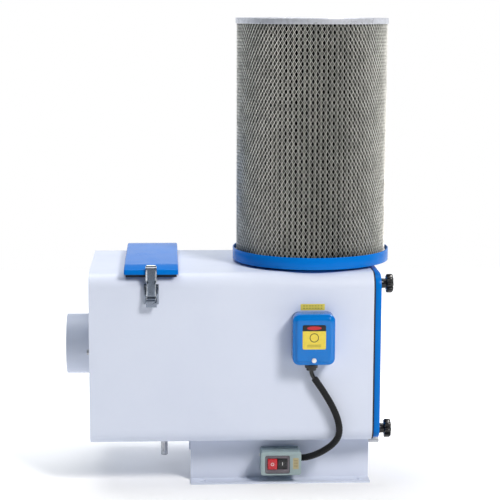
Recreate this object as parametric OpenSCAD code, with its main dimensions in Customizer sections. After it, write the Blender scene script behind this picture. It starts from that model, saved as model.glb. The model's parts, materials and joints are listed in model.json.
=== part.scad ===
// Dust and oil-mist collector: a rounded box casing on a channel base, with a round
// inlet, a lift-out cassette behind the inlet, a fan and motor, and a pleated cartridge.
// Frame: +X from the inlet to the end cover, +Y to the back, +Z up. The origin is on the
// floor, in the middle of the four floor bolts.

/* [Casing] */
// Length of the casing
casing_len = 540; // [530:5:700]
// Width of the casing, front to back
casing_w = 330; // [325:5:420]
// Height of the casing
casing_h = 330; // [325:5:420]
// Outside radius of the four long edges
edge_r = 30; // [24:1:34]
// Thickness of the casing sheet
sheet = 2; // [1.5:0.1:2.5]

/* [Base] */
// Length of the base
base_len = 348; // [320:2:500]
// Height of the base
base_h = 86; // [80:1:140]
// Width of the channel under the casing
channel_w = 216; // [206:2:260]
// Width of each floor flange
flange_w = 35; // [28:1:60]
// Thickness of the base plate
base_t = 3; // [2:0.5:4]
// Spacing of the floor bolts along the base
floor_bolt_x = 300; // [240:5:304]
// Diameter of the floor bolt holes
floor_hole_d = 10; // [6:0.5:14]

/* [Inlet] */
// Outside diameter of the inlet duct
duct_d = 118; // [80:2:140]
// Length of the duct past the casing
duct_len = 50; // [30:1:120]
// Wall of the duct
duct_wall = 2; // [1:0.5:3]
// Diameter of the duct flange
duct_flange_d = 200; // [180:2:220]
// Thickness of the duct flange
duct_flange_t = 2.5; // [1.5:0.5:5]
// Bolt circle of the duct flange
duct_bolt_circle = 172; // [160:2:180]

/* [Cassette and hatch] */
// Distance from the inlet end to the middle of the hatch
hatch_inset = 118; // [95:1:125]
// Width of the hatch cap along the casing
cap_len = 102; // [96:1:120]
// How far the cap stands past the casing, front and back
cap_overhang = 7; // [5:0.5:12]
// Height of the cap above the roof
cap_rise = 15; // [14:0.5:24]
// Gap between the cap skirt and the roof
cap_skirt_gap = 1; // [1:0.5:3]
// Drop of the sloping nose of the cap
nose_drop = 4.5; // [2:0.5:6]
// Thickness of the cap and cassette sheet
cap_t = 1.5; // [1:0.5:2]
// Thickness of the cassette along the air stream
cassette_len = 90; // [60:1:90]
// Height of the chute mouth above the roof
mouth_h = 8; // [6:0.5:9]

/* [Latch] */
// Width of the latch plate
latch_w = 28; // [26:1:40]
// Height of the latch plate
latch_plate_h = 38; // [36:1:50]
// Height of the lever pivot under the roof
pivot_drop = 28; // [26:1:34]
// Width of the lever and claw
lever_w = 21; // [18:0.5:22]
// Thickness of the latch metal
latch_t = 1.5; // [1:0.1:2]
// Diameter of the pivot pin
pivot_d = 3.2; // [2.5:0.1:3.4]
// Diameter of the claw pin
claw_pin_d = 3; // [2:0.1:3.4]

/* [Fan] */
// Distance from the end cover to the bulkhead
bulkhead_inset = 324; // [322:1:330]
// Diameter of the fan wheel
wheel_d = 250; // [200:2:260]
// Length of the fan wheel
wheel_len = 42; // [30:1:46]
// Diameter of the wheel inlet
wheel_eye_d = 132; // [110:2:140]
// Number of blades
blade_count = 8; // [6:1:10]
// Diameter of the motor shaft
shaft_d = 19; // [14:0.5:20]

/* [Motor] */
// Diameter of the motor body
motor_d = 150; // [124:1:160]
// Length of the motor body between its end shields
motor_len = 150; // [120:2:156]
// Diameter of the rotor
rotor_d = 79; // [60:1:84]
// Height of the shaft above the motor feet
foot_drop = 80; // [80:1:90]
// Outside diameter of the bearings
bearing_d = 40; // [35:1:47]

/* [Cartridge] */
// Distance from the cover end of the casing to the cartridge axis
cartridge_inset = 108; // [106:1:114]
// Outside diameter of the cartridge
cartridge_d = 298; // [246:2:310]
// Height of the cartridge
cartridge_h = 465; // [300:5:600]
// Diameter of the opening in the roof
neck_d = 200; // [160:2:206]
// Gap between the cartridge and the wall of its tray
tray_gap = 3; // [2:0.5:6]
// Height of the tray wall
tray_h = 23; // [18:1:40]
// Height of the tray above the roof
tray_rise = 5; // [3:0.5:12]
// Diameter of the tie rod
tie_rod_d = 10; // [8:1:12]

/* [Cover] */
// Depth of the end cover
cover_depth = 11.5; // [9:0.5:20]
// How much smaller the cover is than the casing, on each side
cover_inset = 4; // [0:1:6]
// Thickness of the cover gasket
cover_gasket_t = 3; // [2:0.5:5]
// Distance from the casing sides to the knobs
knob_inset = 23; // [21:1:25]
// Diameter of a knob
knob_d = 36; // [30:1:40]
// Diameter of a knob stud
stud_d = 8; // [6:1:10]

/* [Junction box] */
// Distance from the middle of the base to the junction box
junction_x = 57; // [40:1:80]
// Width of the junction box
junction_w = 80; // [70:1:90]
// Height of the junction box
junction_h = 97; // [86:1:110]
// Depth of the box without its lid
junction_base_d = 27; // [26:1:40]
// Depth of the lid
junction_lid_d = 11; // [8:1:16]
// Height of the junction box above the casing floor
junction_lift = 161; // [130:1:180]

/* [Switch] */
// Width of the switch box
switch_w = 78; // [78:1:90]
// Height of the switch box
switch_h = 46; // [42:1:50]
// Depth of the switch body
switch_body_d = 28; // [24:1:40]
// Depth of the switch cover
switch_cover_d = 14; // [12:1:20]
// Height of the switch above the floor
switch_lift = 19; // [12:1:30]
// Travel of the push buttons
button_travel = 3; // [2:0.5:4]

/* [Drains] */
// Diameter of the drain under the inlet chamber
inlet_drain_d = 14; // [8:1:20]
// Length of that drain below the casing
inlet_drain_len = 65; // [30:1:75]
// Diameter of the drain under the fan chamber
fan_drain_d = 11; // [8:0.5:12]

/* [Hidden] */

$fn = 64;

// Clearances
slip = 0.3;        // between parts that slide past each other
fit = 0.05;        // radial clearance of a pin or shaft in its bore
bolt_play = 1;     // how much wider a bolt's hole is than the bolt
over = 1;          // how far a cut runs past the face it starts from
drill = 6;         // length of a cut through the casing sheet
bolt_tail = 3;     // thread that stands past a nut
hex_sides = 6;

// Main faces and centres
casing_right = base_len / 2;
casing_left = casing_right - casing_len;
roof_z = base_h + casing_h;
axis_z = base_h + casing_h / 2;
front_y = -casing_w / 2;
floor_bolt_y = channel_w / 2 + flange_w / 2;

// Bolts of the base, in the casing floor
base_bolt_x = 120;
base_bolt_y = 80;
base_bolt_d = 8;
nut_t = 6;
nut_d = 14;

// Inlet
duct_r = duct_d / 2;
duct_screw_d = 6;
duct_screw_head_d = 11;
duct_screw_head = 5.5;
duct_screw_len = 8;

// Cassette, chute and cap
hatch_x = casing_left + hatch_inset;
cap_top = roof_z + cap_rise;
cap_half = casing_w / 2 + cap_overhang;
cap_flat = casing_w / 2 - edge_r;
skirt_z = roof_z + cap_skirt_gap;
cassette_side = 14;
cassette_half_y = casing_w / 2 - sheet - cassette_side;
cassette_gap = 1.5;
chute_half_x = cassette_len / 2 + cassette_gap;
chute_half_y = cassette_half_y + 2 * cassette_gap;
cassette_lift = 14;
chute_foot = base_h + cassette_lift - 3.5;
mouth_z = roof_z + mouth_h;
cassette_foot = base_h + cassette_lift;
mouth_lip = 4;
cassette_top = mouth_z - mouth_lip;
cassette_rim = 12;
mesh_rim = 6;
mesh_lip = 5;

// Latch, as [Y, Z] places: the pivot pin stands off the casing, the claw hangs in front of
// it and of the cap, and the claw pin is under the pivot
pivot_stand = 5;
claw_gap = 0.5;
claw_drop = 16;
pivot = [front_y - pivot_stand, roof_z - pivot_drop];
claw_face = min(-cap_half - claw_gap, pivot[0] - pivot_d / 2 - 0.9);
claw_pin = [claw_face - 2, pivot[1] - claw_drop];
claw_top = roof_z + 20;
claw_hook_r = 2;
claw_barrel_r = 3;
plate_top = pivot[1] + 10;
ear_h = 16;
pivot_end_r = 3;
claw_end_r = 4;
grip_y = claw_pin[0] - 5;
grip_top = claw_pin[1] - 4;
lever_foot = roof_z - 60;
cheek_gap = 0.3;

// Fan and motor, along X from the cover end
bulkhead_x = casing_right - bulkhead_inset;
cone_flange_d = wheel_eye_d + 68;
cone_flange_w = 13;
cone_len = 21;
wheel_x = bulkhead_x + sheet + cone_len;
wheel_back = wheel_x + wheel_len;
wheel_plate_t = 2;
hub_len = 25;
hub_d = 48;
shield_t = 15;
hub_gap = 5;
motor_x = wheel_back + hub_len + hub_gap + shield_t;
motor_end = motor_x + motor_len;
shaft_r = shaft_d / 2;
shaft_start = wheel_back - wheel_plate_t;
shaft_end = motor_end + 8;
winding_room = 30;
core_start = motor_x + winding_room;
core_len = motor_len - 2 * winding_room;
motor_wall = 9;
bearing_t = 12;
foot_z = axis_z - foot_drop;
foot_len = 90;
foot_x0 = motor_x + (motor_len - foot_len) / 2;
foot_half_y = 62;
foot_web_y = 30;
foot_web_t = 16;
foot_t = 10;
stand_t = 4;
motor_bolt_y = 54;
motor_bolt_inset = 15;

// Cartridge and its tray
cartridge_x = casing_right - cartridge_inset;
tray_z = roof_z + tray_rise;
tray_t = 2;
tray_r = cartridge_d / 2 + tray_gap + tray_t;
neck_r = neck_d / 2;
collar_gasket_w = 18;
seal_t = 5;
cartridge_z = tray_z + tray_t + seal_t;
cartridge_top = cartridge_z + cartridge_h;
rim_h = 11;
end_cap_t = 2;
bottom_cap_h = 10;
dish_r = 70;
dish_depth = 25;
dish_z = cartridge_top - dish_depth;
lid_z = cartridge_top - rim_h / 2;
pack_z = cartridge_z + end_cap_t;
pack_h = lid_z - pack_z;
mesh_t = 1.5;
mesh_r = cartridge_d / 2 - end_cap_t - slip;
core_r = neck_r + 4;
bridge_z = roof_z - 10;
bridge_t = 4;
rod_hole_r = tie_rod_d / 2 + 0.5;
rod_nut_d = tie_rod_d + 8;
washer_r = 16;
washer_t = 3;
hand_nut_h = 14;

// Cover and knobs
gasket_w = 12;
cover_x = casing_right + cover_gasket_t;
cover_face = cover_x + cover_depth;
end_flange_w = 15;
stem_d = 19.5;
stem_len = 10.5;
knob_t = 12.7;
knob_lobes = 8;
knob_lobe_r = 5;
stud_reach = 10;
weld_nut_t = 7;
weld_nut_d = 14;

// Junction box
junction_z = base_h + junction_lift + junction_h / 2;
junction_r = 13;
junction_wall = 1.5;
junction_face = front_y - junction_base_d - junction_lid_d;
lid_step = 5;
lid_step_d = 3.7;
lid_screw_r = 4.5;
lid_screw_z = junction_z - junction_h / 2 + 10;
gland_x = junction_x - 3;
gland_y = front_y - junction_base_d / 2;
gland_z = junction_z - junction_h / 2;
gland_r = 12.5;
gland_throat_r = 9.5;
gland_nut_h = 9;
gland_h = 14;
cable_r = 4;
wire_hole_d = 16;

// Switch box, on the front wall of the base
switch_back = -channel_w / 2;
switch_split = switch_back - switch_body_d;
switch_face = switch_split - switch_cover_d;
switch_z = switch_lift + switch_h / 2;
switch_wall = 2;
switch_r = 5;
frame_x = -7;
frame_z = switch_z - 2;
frame_r = 4;
frame_w = 48;
frame_h = 36;
frame_t = 3;
frame_recess = 1.5;
button_w = 18.5;
button_h = 21;
button_gap = 1;
button_stand = 2;
button_z = switch_z - 1;

// Labels, as [width, height]
lid_label = [44, 48];
strip_label = [46, 12];
strip_gap = 2;
plate_label = [11, 22];
label_t = 0.3;

// Drains
inlet_drain_x = hatch_x + 22.5;
fan_drain_x = casing_right - 24;
fan_drain_y = -90;
fan_drain_z = base_h - 14;
fan_drain_end = casing_right + 22;
pipe_wall = 1;

// Cable, from the gland down and round to the side of the switch. The conduit starts a
// few points down from the gland.
cable_route = [
    [54, -178, 233], [55, -178, 227], [57, -178, 222], [60, -178, 217], [69, -178, 204],
    [77, -178, 192], [85, -178, 179], [92, -178, 167], [98, -178, 155], [103, -178, 143],
    [107, -178, 130], [109, -177, 117], [108, -175, 105], [104, -171, 94], [96, -166, 83],
    [86, -159, 73], [75, -151, 64], [63, -142, 56], [51, -133, 50], [39, -124, 46]
];
conduit_start = 3;
conduit_r = 6.5;
cable_sides = 10;

// ---------- shared shapes ----------

// Extrudes a YZ outline along X
module along_x(x, len) translate([x, 0, 0]) rotate([90, 0, 90]) linear_extrude(len) children();

// Extrudes an XZ outline along Y
module along_y(y, len) translate([0, y + len, 0]) rotate([90, 0, 0]) linear_extrude(len) children();

// Turns a [radius, distance] outline about the fan axis, which runs along X
module around_axis(x) translate([x, 0, axis_z]) rotate([0, 90, 0]) rotate_extrude() children();

module rod_x(x, r, len) translate([x, 0, 0]) rotate([0, 90, 0]) cylinder(r = r, h = len);

module rod_y(y, r, len) translate([0, y + len, 0]) rotate([90, 0, 0]) cylinder(r = r, h = len);

module tube(r_out, r_in, h) difference() {
    cylinder(r = r_out, h = h);
    translate([0, 0, -over]) cylinder(r = r_in, h = h + 2 * over);
}

module rounded_rect(w, h, r) {
    square([w - 2 * r, h], center = true);
    square([w, h - 2 * r], center = true);
    for (x = [-1, 1], y = [-1, 1]) translate([x * (w / 2 - r), y * (h / 2 - r)]) circle(r = r);
}

// Outline of the casing, smaller by inset on every side
module casing_outline(inset) translate([0, axis_z])
    rounded_rect(casing_w - 2 * inset, casing_h - 2 * inset, edge_r - inset);

// Plate that fits inside the casing and stays clear of its rounded corners
module inner_plate(x) along_x(x, sheet) difference() {
    translate([0, axis_z]) rounded_rect(casing_w - 2 * sheet, casing_h - 2 * sheet, edge_r);
    children();
}

module four_corners(x, y) for (i = [-1, 1], j = [-1, 1]) translate([i * x, j * y]) children();

module hex_bolt(d, head_d, head_h, len) {
    cylinder(d = head_d, h = head_h, $fn = hex_sides);
    translate([0, 0, -len]) cylinder(d = d, h = len);
}

module hex_nut(d, nut_d, h) difference() {
    cylinder(d = nut_d, h = h, $fn = hex_sides);
    translate([0, 0, -over]) cylinder(d = d + 2 * fit, h = h + 2 * over);
}

// ---------- base ----------

module base() color("lavender") difference() {
    union() {
        along_x(-base_len / 2, base_len) difference() {
            translate([-channel_w / 2, 0]) square([channel_w, base_h]);
            translate([-channel_w / 2 + base_t, -over])
                square([channel_w - 2 * base_t, base_h - base_t + over]);
        }
        for (side = [-1, 1]) translate([0, side * floor_bolt_y, base_t / 2])
            cube([base_len, flange_w, base_t], center = true);
    }
    four_corners(floor_bolt_x / 2, floor_bolt_y)
        translate([0, 0, -over]) cylinder(d = floor_hole_d, h = base_t + 2 * over);
    four_corners(base_bolt_x, base_bolt_y)
        translate([0, 0, base_h / 2]) cylinder(d = base_bolt_d + bolt_play, h = base_h);
    translate([fan_drain_x, fan_drain_y, base_h / 2]) cylinder(d = fan_drain_d + 2 * bolt_play, h = base_h);
}

module base_bolts() color("silver") four_corners(base_bolt_x, base_bolt_y) {
    bolt_len = sheet + base_t + nut_t + bolt_tail;
    translate([0, 0, base_h + sheet]) hex_bolt(base_bolt_d, nut_d, nut_t, bolt_len);
    translate([0, 0, base_h - base_t - nut_t]) hex_nut(base_bolt_d, nut_d, nut_t);
}

// ---------- casing ----------

module casing_shell() color("lavender") difference() {
    union() {
        along_x(casing_left, casing_len) difference() {
            casing_outline(0);
            casing_outline(sheet);
        }
        end_flange();
    }
    translate([hatch_x - chute_half_x - cap_t - slip, -chute_half_y - cap_t - slip, axis_z])
        cube([2 * (chute_half_x + cap_t + slip), 2 * (chute_half_y + cap_t + slip), casing_h]);
    translate([cartridge_x, 0, axis_z]) cylinder(r = neck_r + slip, h = casing_h);
    translate([inlet_drain_x, 0, base_h - over]) cylinder(d = inlet_drain_d - 2 * pipe_wall, h = drill);
    translate([fan_drain_x, fan_drain_y, base_h - over])
        cylinder(d = fan_drain_d - 2 * pipe_wall, h = drill);
    four_corners(base_bolt_x, base_bolt_y)
        translate([0, 0, base_h - over]) cylinder(d = base_bolt_d + bolt_play, h = drill);
    translate([junction_x, 0, junction_z]) rod_y(front_y - over, wire_hole_d / 2, drill);
}

// Inward flange at the cover end, with a corner tab behind each knob
module end_flange() along_x(casing_right - sheet, sheet) difference() {
    casing_outline(sheet / 2);
    tab = knob_inset + weld_nut_d;
    translate([0, axis_z]) {
        square([casing_w - 2 * end_flange_w, casing_h - 2 * tab], center = true);
        square([casing_w - 2 * tab, casing_h - 2 * end_flange_w], center = true);
    }
    knob_places() circle(d = stud_d + bolt_play);
}

// Places of the four knobs, as seen along X
module knob_places() translate([0, axis_z])
    four_corners(casing_w / 2 - knob_inset, casing_h / 2 - knob_inset) children();

module inlet_panel() color("lavender") inner_plate(casing_left) translate([0, axis_z]) {
    circle(r = duct_r - duct_wall);
    duct_screw_places() circle(d = duct_screw_d + bolt_play);
}

module duct_screw_places() for (turn = [0:90:270])
    rotate(turn) translate([duct_bolt_circle / 2, 0]) children();

module inlet_duct() color("lavender") difference() {
    union() {
        along_x(casing_left - duct_len, duct_len) translate([0, axis_z]) circle(r = duct_r);
        along_x(casing_left - duct_flange_t, duct_flange_t)
            translate([0, axis_z]) circle(d = duct_flange_d);
    }
    translate([0, 0, axis_z]) rod_x(casing_left - duct_len - over, duct_r - duct_wall, duct_len + 2 * over);
    along_x(casing_left - duct_flange_t - over, duct_flange_t + 2 * over)
        translate([0, axis_z]) duct_screw_places() circle(d = duct_screw_d + bolt_play);
}

module inlet_screws() color("silver") translate([casing_left - duct_flange_t, 0, axis_z])
    rotate([0, -90, 0]) duct_screw_places()
        hex_bolt(duct_screw_d, duct_screw_head_d, duct_screw_head, duct_screw_len);

// ---------- cassette chute, cassette and hatch cap ----------

module cassette_chute() color("lightsteelblue") translate([hatch_x, 0, 0]) difference() {
    x = chute_half_x;
    y = chute_half_y;
    translate([-x - cap_t, -y - cap_t, chute_foot])
        cube([2 * (x + cap_t), 2 * (y + cap_t), mouth_z - chute_foot]);
    translate([-x, -y, chute_foot - over]) cube([2 * x, 2 * y, casing_h]);
    translate([-x - cap_t - over, -y + cassette_rim, cassette_foot + cassette_rim])
        cube([2 * (x + cap_t + over), 2 * (y - cassette_rim), casing_h - 4 * cassette_rim]);
}

// Outline of the cap, with its sloping noses, thinner by inset all round
module cap_outline(inset, foot) polygon([
    [-cap_half + inset, foot], [-cap_half + inset, cap_top - nose_drop - inset],
    [-cap_flat, cap_top - inset], [cap_flat, cap_top - inset],
    [cap_half - inset, cap_top - nose_drop - inset], [cap_half - inset, foot]
]);

module hatch_cap() color("dodgerblue") difference() {
    along_x(hatch_x - cap_len / 2, cap_len) cap_outline(0, skirt_z);
    along_x(hatch_x - cap_len / 2 + cap_t, cap_len - 2 * cap_t) cap_outline(cap_t, skirt_z - over);
}

// Foam strip inside the cap, on the chute mouth
module hatch_gasket() color("dimgray") difference() {
    half_x = min(chute_half_x + cap_t, cap_len / 2 - cap_t - slip);
    intersection() {
        along_x(hatch_x - half_x, 2 * half_x) cap_outline(cap_t, mouth_z + slip);
        translate([hatch_x, 0, mouth_z])
            cube([cap_len, 2 * (chute_half_y + 2 * cap_t), 2 * casing_h], center = true);
    }
    translate([hatch_x, 0, mouth_z])
        cube([cassette_len + 2 * slip, 2 * cassette_half_y, casing_h], center = true);
}

module cassette_frame() color("silver") translate([hatch_x, 0, 0]) {
    x = cassette_len / 2;
    y = cassette_half_y;
    h = cassette_top - cassette_foot;
    difference() {
        translate([-x, -y, cassette_foot]) cube([2 * x, 2 * y, h]);
        translate([-x - over, -y + cassette_rim, cassette_foot + cassette_rim])
            cube([2 * (x + over), 2 * (y - cassette_rim), h - 2 * cassette_rim]);
        cassette_room();
    }
    hanger_w = 10;
    hanger_y = cap_flat - cassette_rim;
    for (side = [-1, 1]) translate([side * (x - hanger_w) - hanger_w / 2, -hanger_y, cassette_top])
        cube([hanger_w, 2 * hanger_y, cap_top - cap_t - cassette_top]);
}

// Room for the mesh pack inside the cassette frame
module cassette_room() {
    x = cassette_len / 2 - mesh_lip;
    y = cassette_half_y - mesh_rim;
    translate([-x, -y, cassette_foot + mesh_rim])
        cube([2 * x, 2 * y, cassette_top - cassette_foot - 2 * mesh_rim]);
}

module cassette_mesh() color("gray") translate([hatch_x, 0, 0]) cassette_room();

// ---------- draw latch ----------

module latch_plate() color("silver") translate([hatch_x, 0, 0]) {
    ear_y = pivot[0] - pivot_end_r;
    translate([-latch_w / 2, front_y - latch_t, plate_top - latch_plate_h])
        cube([latch_w, latch_t, latch_plate_h]);
    for (x = [-latch_w / 2, latch_w / 2 - latch_t])
        translate([x, ear_y, pivot[1] - ear_h / 2]) cube([latch_t, front_y - ear_y, ear_h]);
    translate([0, pivot[0], pivot[1]]) rod_x(-latch_w / 2, pivot_d / 2, latch_w);
}

// Place of a latch pin, given as [Y, Z]
module at_pin(p) translate([hatch_x, p[0], p[1]]) children();

module latch_lever() color("silver") difference() {
    cheek = (lever_w - 2 * latch_t) / 2;
    union() {
        for (x = [-cheek - latch_t, cheek]) along_x(hatch_x + x, latch_t) lever_cheek();
        translate([hatch_x - lever_w / 2, grip_y, lever_foot])
            cube([lever_w, latch_t, grip_top - lever_foot]);
    }
    at_pin(pivot) rod_x(-latch_w, pivot_d / 2 + fit, 2 * latch_w);
    at_pin(claw_pin) rod_x(-latch_w, claw_pin_d / 2 + fit, 2 * latch_w);
}

// Side of the lever: round ends about both pins, and a tail behind the grip
module lever_cheek() {
    translate(pivot) circle(r = pivot_end_r);
    translate(claw_pin) circle(r = claw_end_r);
    polygon([
        pivot - [pivot_end_r, 0], pivot + [pivot_end_r, 0], claw_pin + [claw_end_r, 0],
        [claw_pin[0] - 1, lever_foot + 2], [grip_y, lever_foot], [grip_y, grip_top],
        claw_pin - [claw_end_r, 0]
    ]);
}

module claw_pin() color("silver") at_pin(claw_pin) rod_x(-lever_w / 2, claw_pin_d / 2, lever_w);

module latch_claw() color("gainsboro") difference() {
    narrow = lever_w - 2 * latch_t - 2 * cheek_gap;
    wide_z = plate_top + 4;
    union() {
        at_pin(claw_pin) rod_x(-narrow / 2, claw_barrel_r, narrow);
        translate([hatch_x - narrow / 2, claw_face - latch_t, claw_pin[1]])
            cube([narrow, latch_t, wide_z - claw_pin[1] + over]);
        translate([hatch_x - lever_w / 2, claw_face - latch_t, wide_z])
            cube([lever_w, latch_t, claw_top - claw_hook_r - wide_z]);
        translate([hatch_x, claw_face - claw_hook_r, claw_top - claw_hook_r])
            rod_x(-lever_w / 2, claw_hook_r, lever_w);
    }
    at_pin(claw_pin) rod_x(-lever_w, claw_pin_d / 2 + fit, 2 * lever_w);
}

// ---------- fan and motor ----------

module bulkhead() color("lavender") inner_plate(bulkhead_x)
    translate([0, axis_z]) circle(d = cone_flange_d - 2 * cone_flange_w + 2 * bolt_play);

module inlet_cone() color("silver") around_axis(bulkhead_x - cap_t) {
    t = cap_t;
    flange_r = cone_flange_d / 2;
    bell_r = flange_r - cone_flange_w;
    bend_r = bell_r - 8;
    bend_depth = t + 5;
    throat_r = wheel_eye_d / 2 - 4;
    reach = t + sheet + cone_len - 2;
    lip_start = reach - 4;
    polygon([
        [bell_r - t, 0], [flange_r, 0], [flange_r, t], [bell_r, t],
        [bend_r, bend_depth], [throat_r + t, lip_start], [throat_r + t, reach],
        [throat_r, reach], [throat_r, lip_start - t / 2], [bend_r - t, bend_depth - t / 2]
    ]);
}

// Wheel: a back plate on the hub, a front ring round the eye, and straight blades between
// them that lean back and end just inside the rim
module fan_wheel() color("silver") {
    plate_t = wheel_plate_t;
    rim_r = wheel_d / 2;
    eye_r = wheel_eye_d / 2;
    root_r = eye_r + 3;
    tip_r = rim_r - plate_t;
    lean = 38;
    blade_len = sqrt(pow(tip_r, 2) - pow(root_r * sin(lean), 2)) - root_r * cos(lean);
    around_axis(wheel_x) translate([eye_r, 0]) square([rim_r - eye_r, plate_t]);
    around_axis(wheel_back - plate_t)
        translate([shaft_r + fit, 0]) square([rim_r - shaft_r - fit, plate_t]);
    translate([wheel_x + plate_t / 2, 0, axis_z]) rotate([0, 90, 0]) linear_extrude(wheel_len - plate_t)
        for (i = [0:blade_count - 1]) rotate(i * 360 / blade_count)
            translate([root_r, 0]) rotate(-lean) square([blade_len, plate_t]);
}

module fan_hub() color("dimgray") around_axis(wheel_back)
    translate([shaft_r + fit, 0]) square([hub_d / 2 - shaft_r - fit, hub_len]);

// Bolt and washer that hold the wheel on the shaft
module wheel_bolt() color("silver") translate([shaft_start, 0, axis_z]) rotate([0, -90, 0]) {
    cylinder(r = shaft_r + 6, h = washer_t);
    translate([0, 0, washer_t]) cylinder(d = nut_d, h = nut_t, $fn = hex_sides);
}

module motor_shaft() color("silver") translate([0, 0, axis_z])
    rod_x(shaft_start, shaft_r, shaft_end - shaft_start);

module rotor() color("gray") around_axis(core_start)
    translate([shaft_r + fit, 0]) square([(rotor_d - shaft_d) / 2 - fit, core_len]);

module stator() color("saddlebrown") around_axis(core_start) {
    air_gap = 0.6;
    bore_r = rotor_d / 2 + air_gap;
    translate([bore_r, 0]) square([motor_d / 2 - motor_wall - slip / 2 - bore_r, core_len]);
}

// Barrel of the motor on two long feet, each with a web up to the barrel
module motor_housing() color("dimgray") difference() {
    union() {
        translate([0, 0, axis_z]) rod_x(motor_x, motor_d / 2, motor_len);
        for (side = [0, 1]) mirror([0, side, 0]) translate([foot_x0, foot_web_y, foot_z]) {
            cube([foot_len, foot_half_y - foot_web_y, foot_t]);
            cube([foot_len, foot_web_t, foot_drop - motor_d / 4]);
        }
    }
    translate([0, 0, axis_z]) rod_x(motor_x - over, motor_d / 2 - motor_wall, motor_len + 2 * over);
    motor_bolt_places() translate([0, 0, foot_z - over])
        cylinder(d = base_bolt_d + bolt_play, h = foot_t + 2 * over);
}

module motor_bolt_places() for (x = [motor_bolt_inset, foot_len - motor_bolt_inset], side = [-1, 1])
    translate([foot_x0 + x, side * motor_bolt_y]) children();

// Both end shields, each with a seat for its bearing
module end_shields() color("gray") {
    seat_r = bearing_d / 2 + fit;
    hole_r = shaft_r + 3;
    around_axis(motor_x - shield_t) difference() {
        translate([hole_r, 0]) square([motor_d / 2 - hole_r, shield_t]);
        translate([0, shield_t - bearing_t]) square([seat_r, bearing_t + over]);
    }
    around_axis(motor_end) difference() {
        square([motor_d / 2, shield_t]);
        translate([0, -over]) square([seat_r, bearing_t + over]);
    }
}

module motor_bearings() color("silver") for (x = [motor_x - bearing_t, motor_end])
    around_axis(x) translate([shaft_r + fit, 0]) square([(bearing_d - shaft_d) / 2 - fit, bearing_t]);

module motor_stand() color("lightsteelblue") difference() {
    foot_w = 16;
    leg_y = foot_half_y + 8;
    floor_z = base_h + sheet;
    union() {
        translate([foot_x0, -leg_y, foot_z - stand_t]) cube([foot_len, 2 * leg_y, stand_t]);
        for (side = [0, 1]) mirror([0, side, 0]) {
            translate([foot_x0, leg_y - stand_t, floor_z]) cube([foot_len, stand_t, foot_z - floor_z]);
            translate([foot_x0, leg_y - over, floor_z]) cube([foot_len, foot_w, stand_t]);
        }
    }
    motor_bolt_places() translate([0, 0, foot_z - stand_t - over])
        cylinder(d = base_bolt_d + bolt_play, h = stand_t + 2 * over);
}

module motor_bolts() color("silver") motor_bolt_places() {
    bolt_len = foot_t + stand_t + nut_t + bolt_tail;
    translate([0, 0, foot_z + foot_t]) hex_bolt(base_bolt_d, nut_d, nut_t, bolt_len);
    translate([0, 0, foot_z - stand_t - nut_t]) hex_nut(base_bolt_d, nut_d, nut_t);
}

// ---------- cartridge tray and tie rod ----------

// Tray, neck through the roof, and the bar across the neck that holds the tie rod
module tray_collar() color("dodgerblue") translate([cartridge_x, 0, 0]) {
    neck_foot = roof_z - 14;
    bridge_w = 24;
    difference() {
        union() {
            translate([0, 0, tray_z]) cylinder(r = tray_r, h = tray_h);
            translate([0, 0, neck_foot]) cylinder(r = neck_r, h = tray_z - neck_foot + tray_t);
        }
        translate([0, 0, tray_z + tray_t]) cylinder(r = tray_r - tray_t, h = tray_h);
        translate([0, 0, neck_foot - over]) cylinder(r = neck_r - tray_t, h = tray_h + casing_h);
    }
    difference() {
        intersection() {
            translate([-neck_r, -bridge_w / 2, bridge_z]) cube([2 * neck_r, bridge_w, bridge_t]);
            translate([0, 0, bridge_z - over]) cylinder(r = neck_r - tray_t / 2, h = bridge_t + 2 * over);
        }
        translate([0, 0, bridge_z - over]) cylinder(r = tie_rod_d / 2 + fit, h = bridge_t + 2 * over);
    }
}

module collar_gasket() color("black") translate([cartridge_x, 0, roof_z])
    tube(min(neck_r + collar_gasket_w, cap_flat - over), neck_r + slip, tray_rise);

module cartridge_seal() color("black") translate([cartridge_x, 0, tray_z + tray_t])
    tube(cartridge_d / 2 - over, neck_r, seal_t);

module tie_rod() color("silver") translate([cartridge_x, 0, 0]) {
    foot = bridge_z - 2 * nut_t;
    top = dish_z + washer_t + hand_nut_h + bolt_tail;
    translate([0, 0, foot]) cylinder(d = tie_rod_d, h = top - foot);
    translate([0, 0, bridge_z - nut_t]) cylinder(d = rod_nut_d, h = nut_t, $fn = hex_sides);
}

// ---------- cartridge ----------

module cartridge_bottom_cap() color("silver") translate([cartridge_x, 0, cartridge_z]) {
    r = cartridge_d / 2;
    difference() {
        tube(r, neck_r, bottom_cap_h);
        translate([0, 0, end_cap_t]) tube(r - end_cap_t, neck_r + end_cap_t, bottom_cap_h);
    }
}

module cartridge_core() color("silver") translate([cartridge_x, 0, pack_z])
    tube(core_r, core_r - mesh_t, pack_h);

module cartridge_media() color("beige") translate([cartridge_x, 0, pack_z])
    tube(mesh_r - mesh_t - slip, core_r + slip, pack_h);

module cartridge_mesh() color("darkgray") translate([cartridge_x, 0, pack_z])
    tube(mesh_r, mesh_r - mesh_t, pack_h);

// Top cap: a rim round the pack and a dish that hides the nut
module cartridge_top_cap() color("lightgray") translate([cartridge_x, 0, 0]) rotate_extrude() {
    r = cartridge_d / 2;
    t = end_cap_t;
    skirt_foot = cartridge_top - rim_h;
    polygon([
        [rod_hole_r, dish_z - t], [dish_r + t, dish_z - t], [dish_r + t, lid_z],
        [r - t, lid_z], [r - t, skirt_foot], [r, skirt_foot], [r, cartridge_top],
        [r - t, cartridge_top], [r - t, lid_z + t], [dish_r, lid_z + t], [dish_r, dish_z],
        [rod_hole_r, dish_z]
    ]);
}

module hand_nut_washer() color("black") translate([cartridge_x, 0, dish_z])
    tube(washer_r, rod_hole_r, washer_t);

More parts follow.
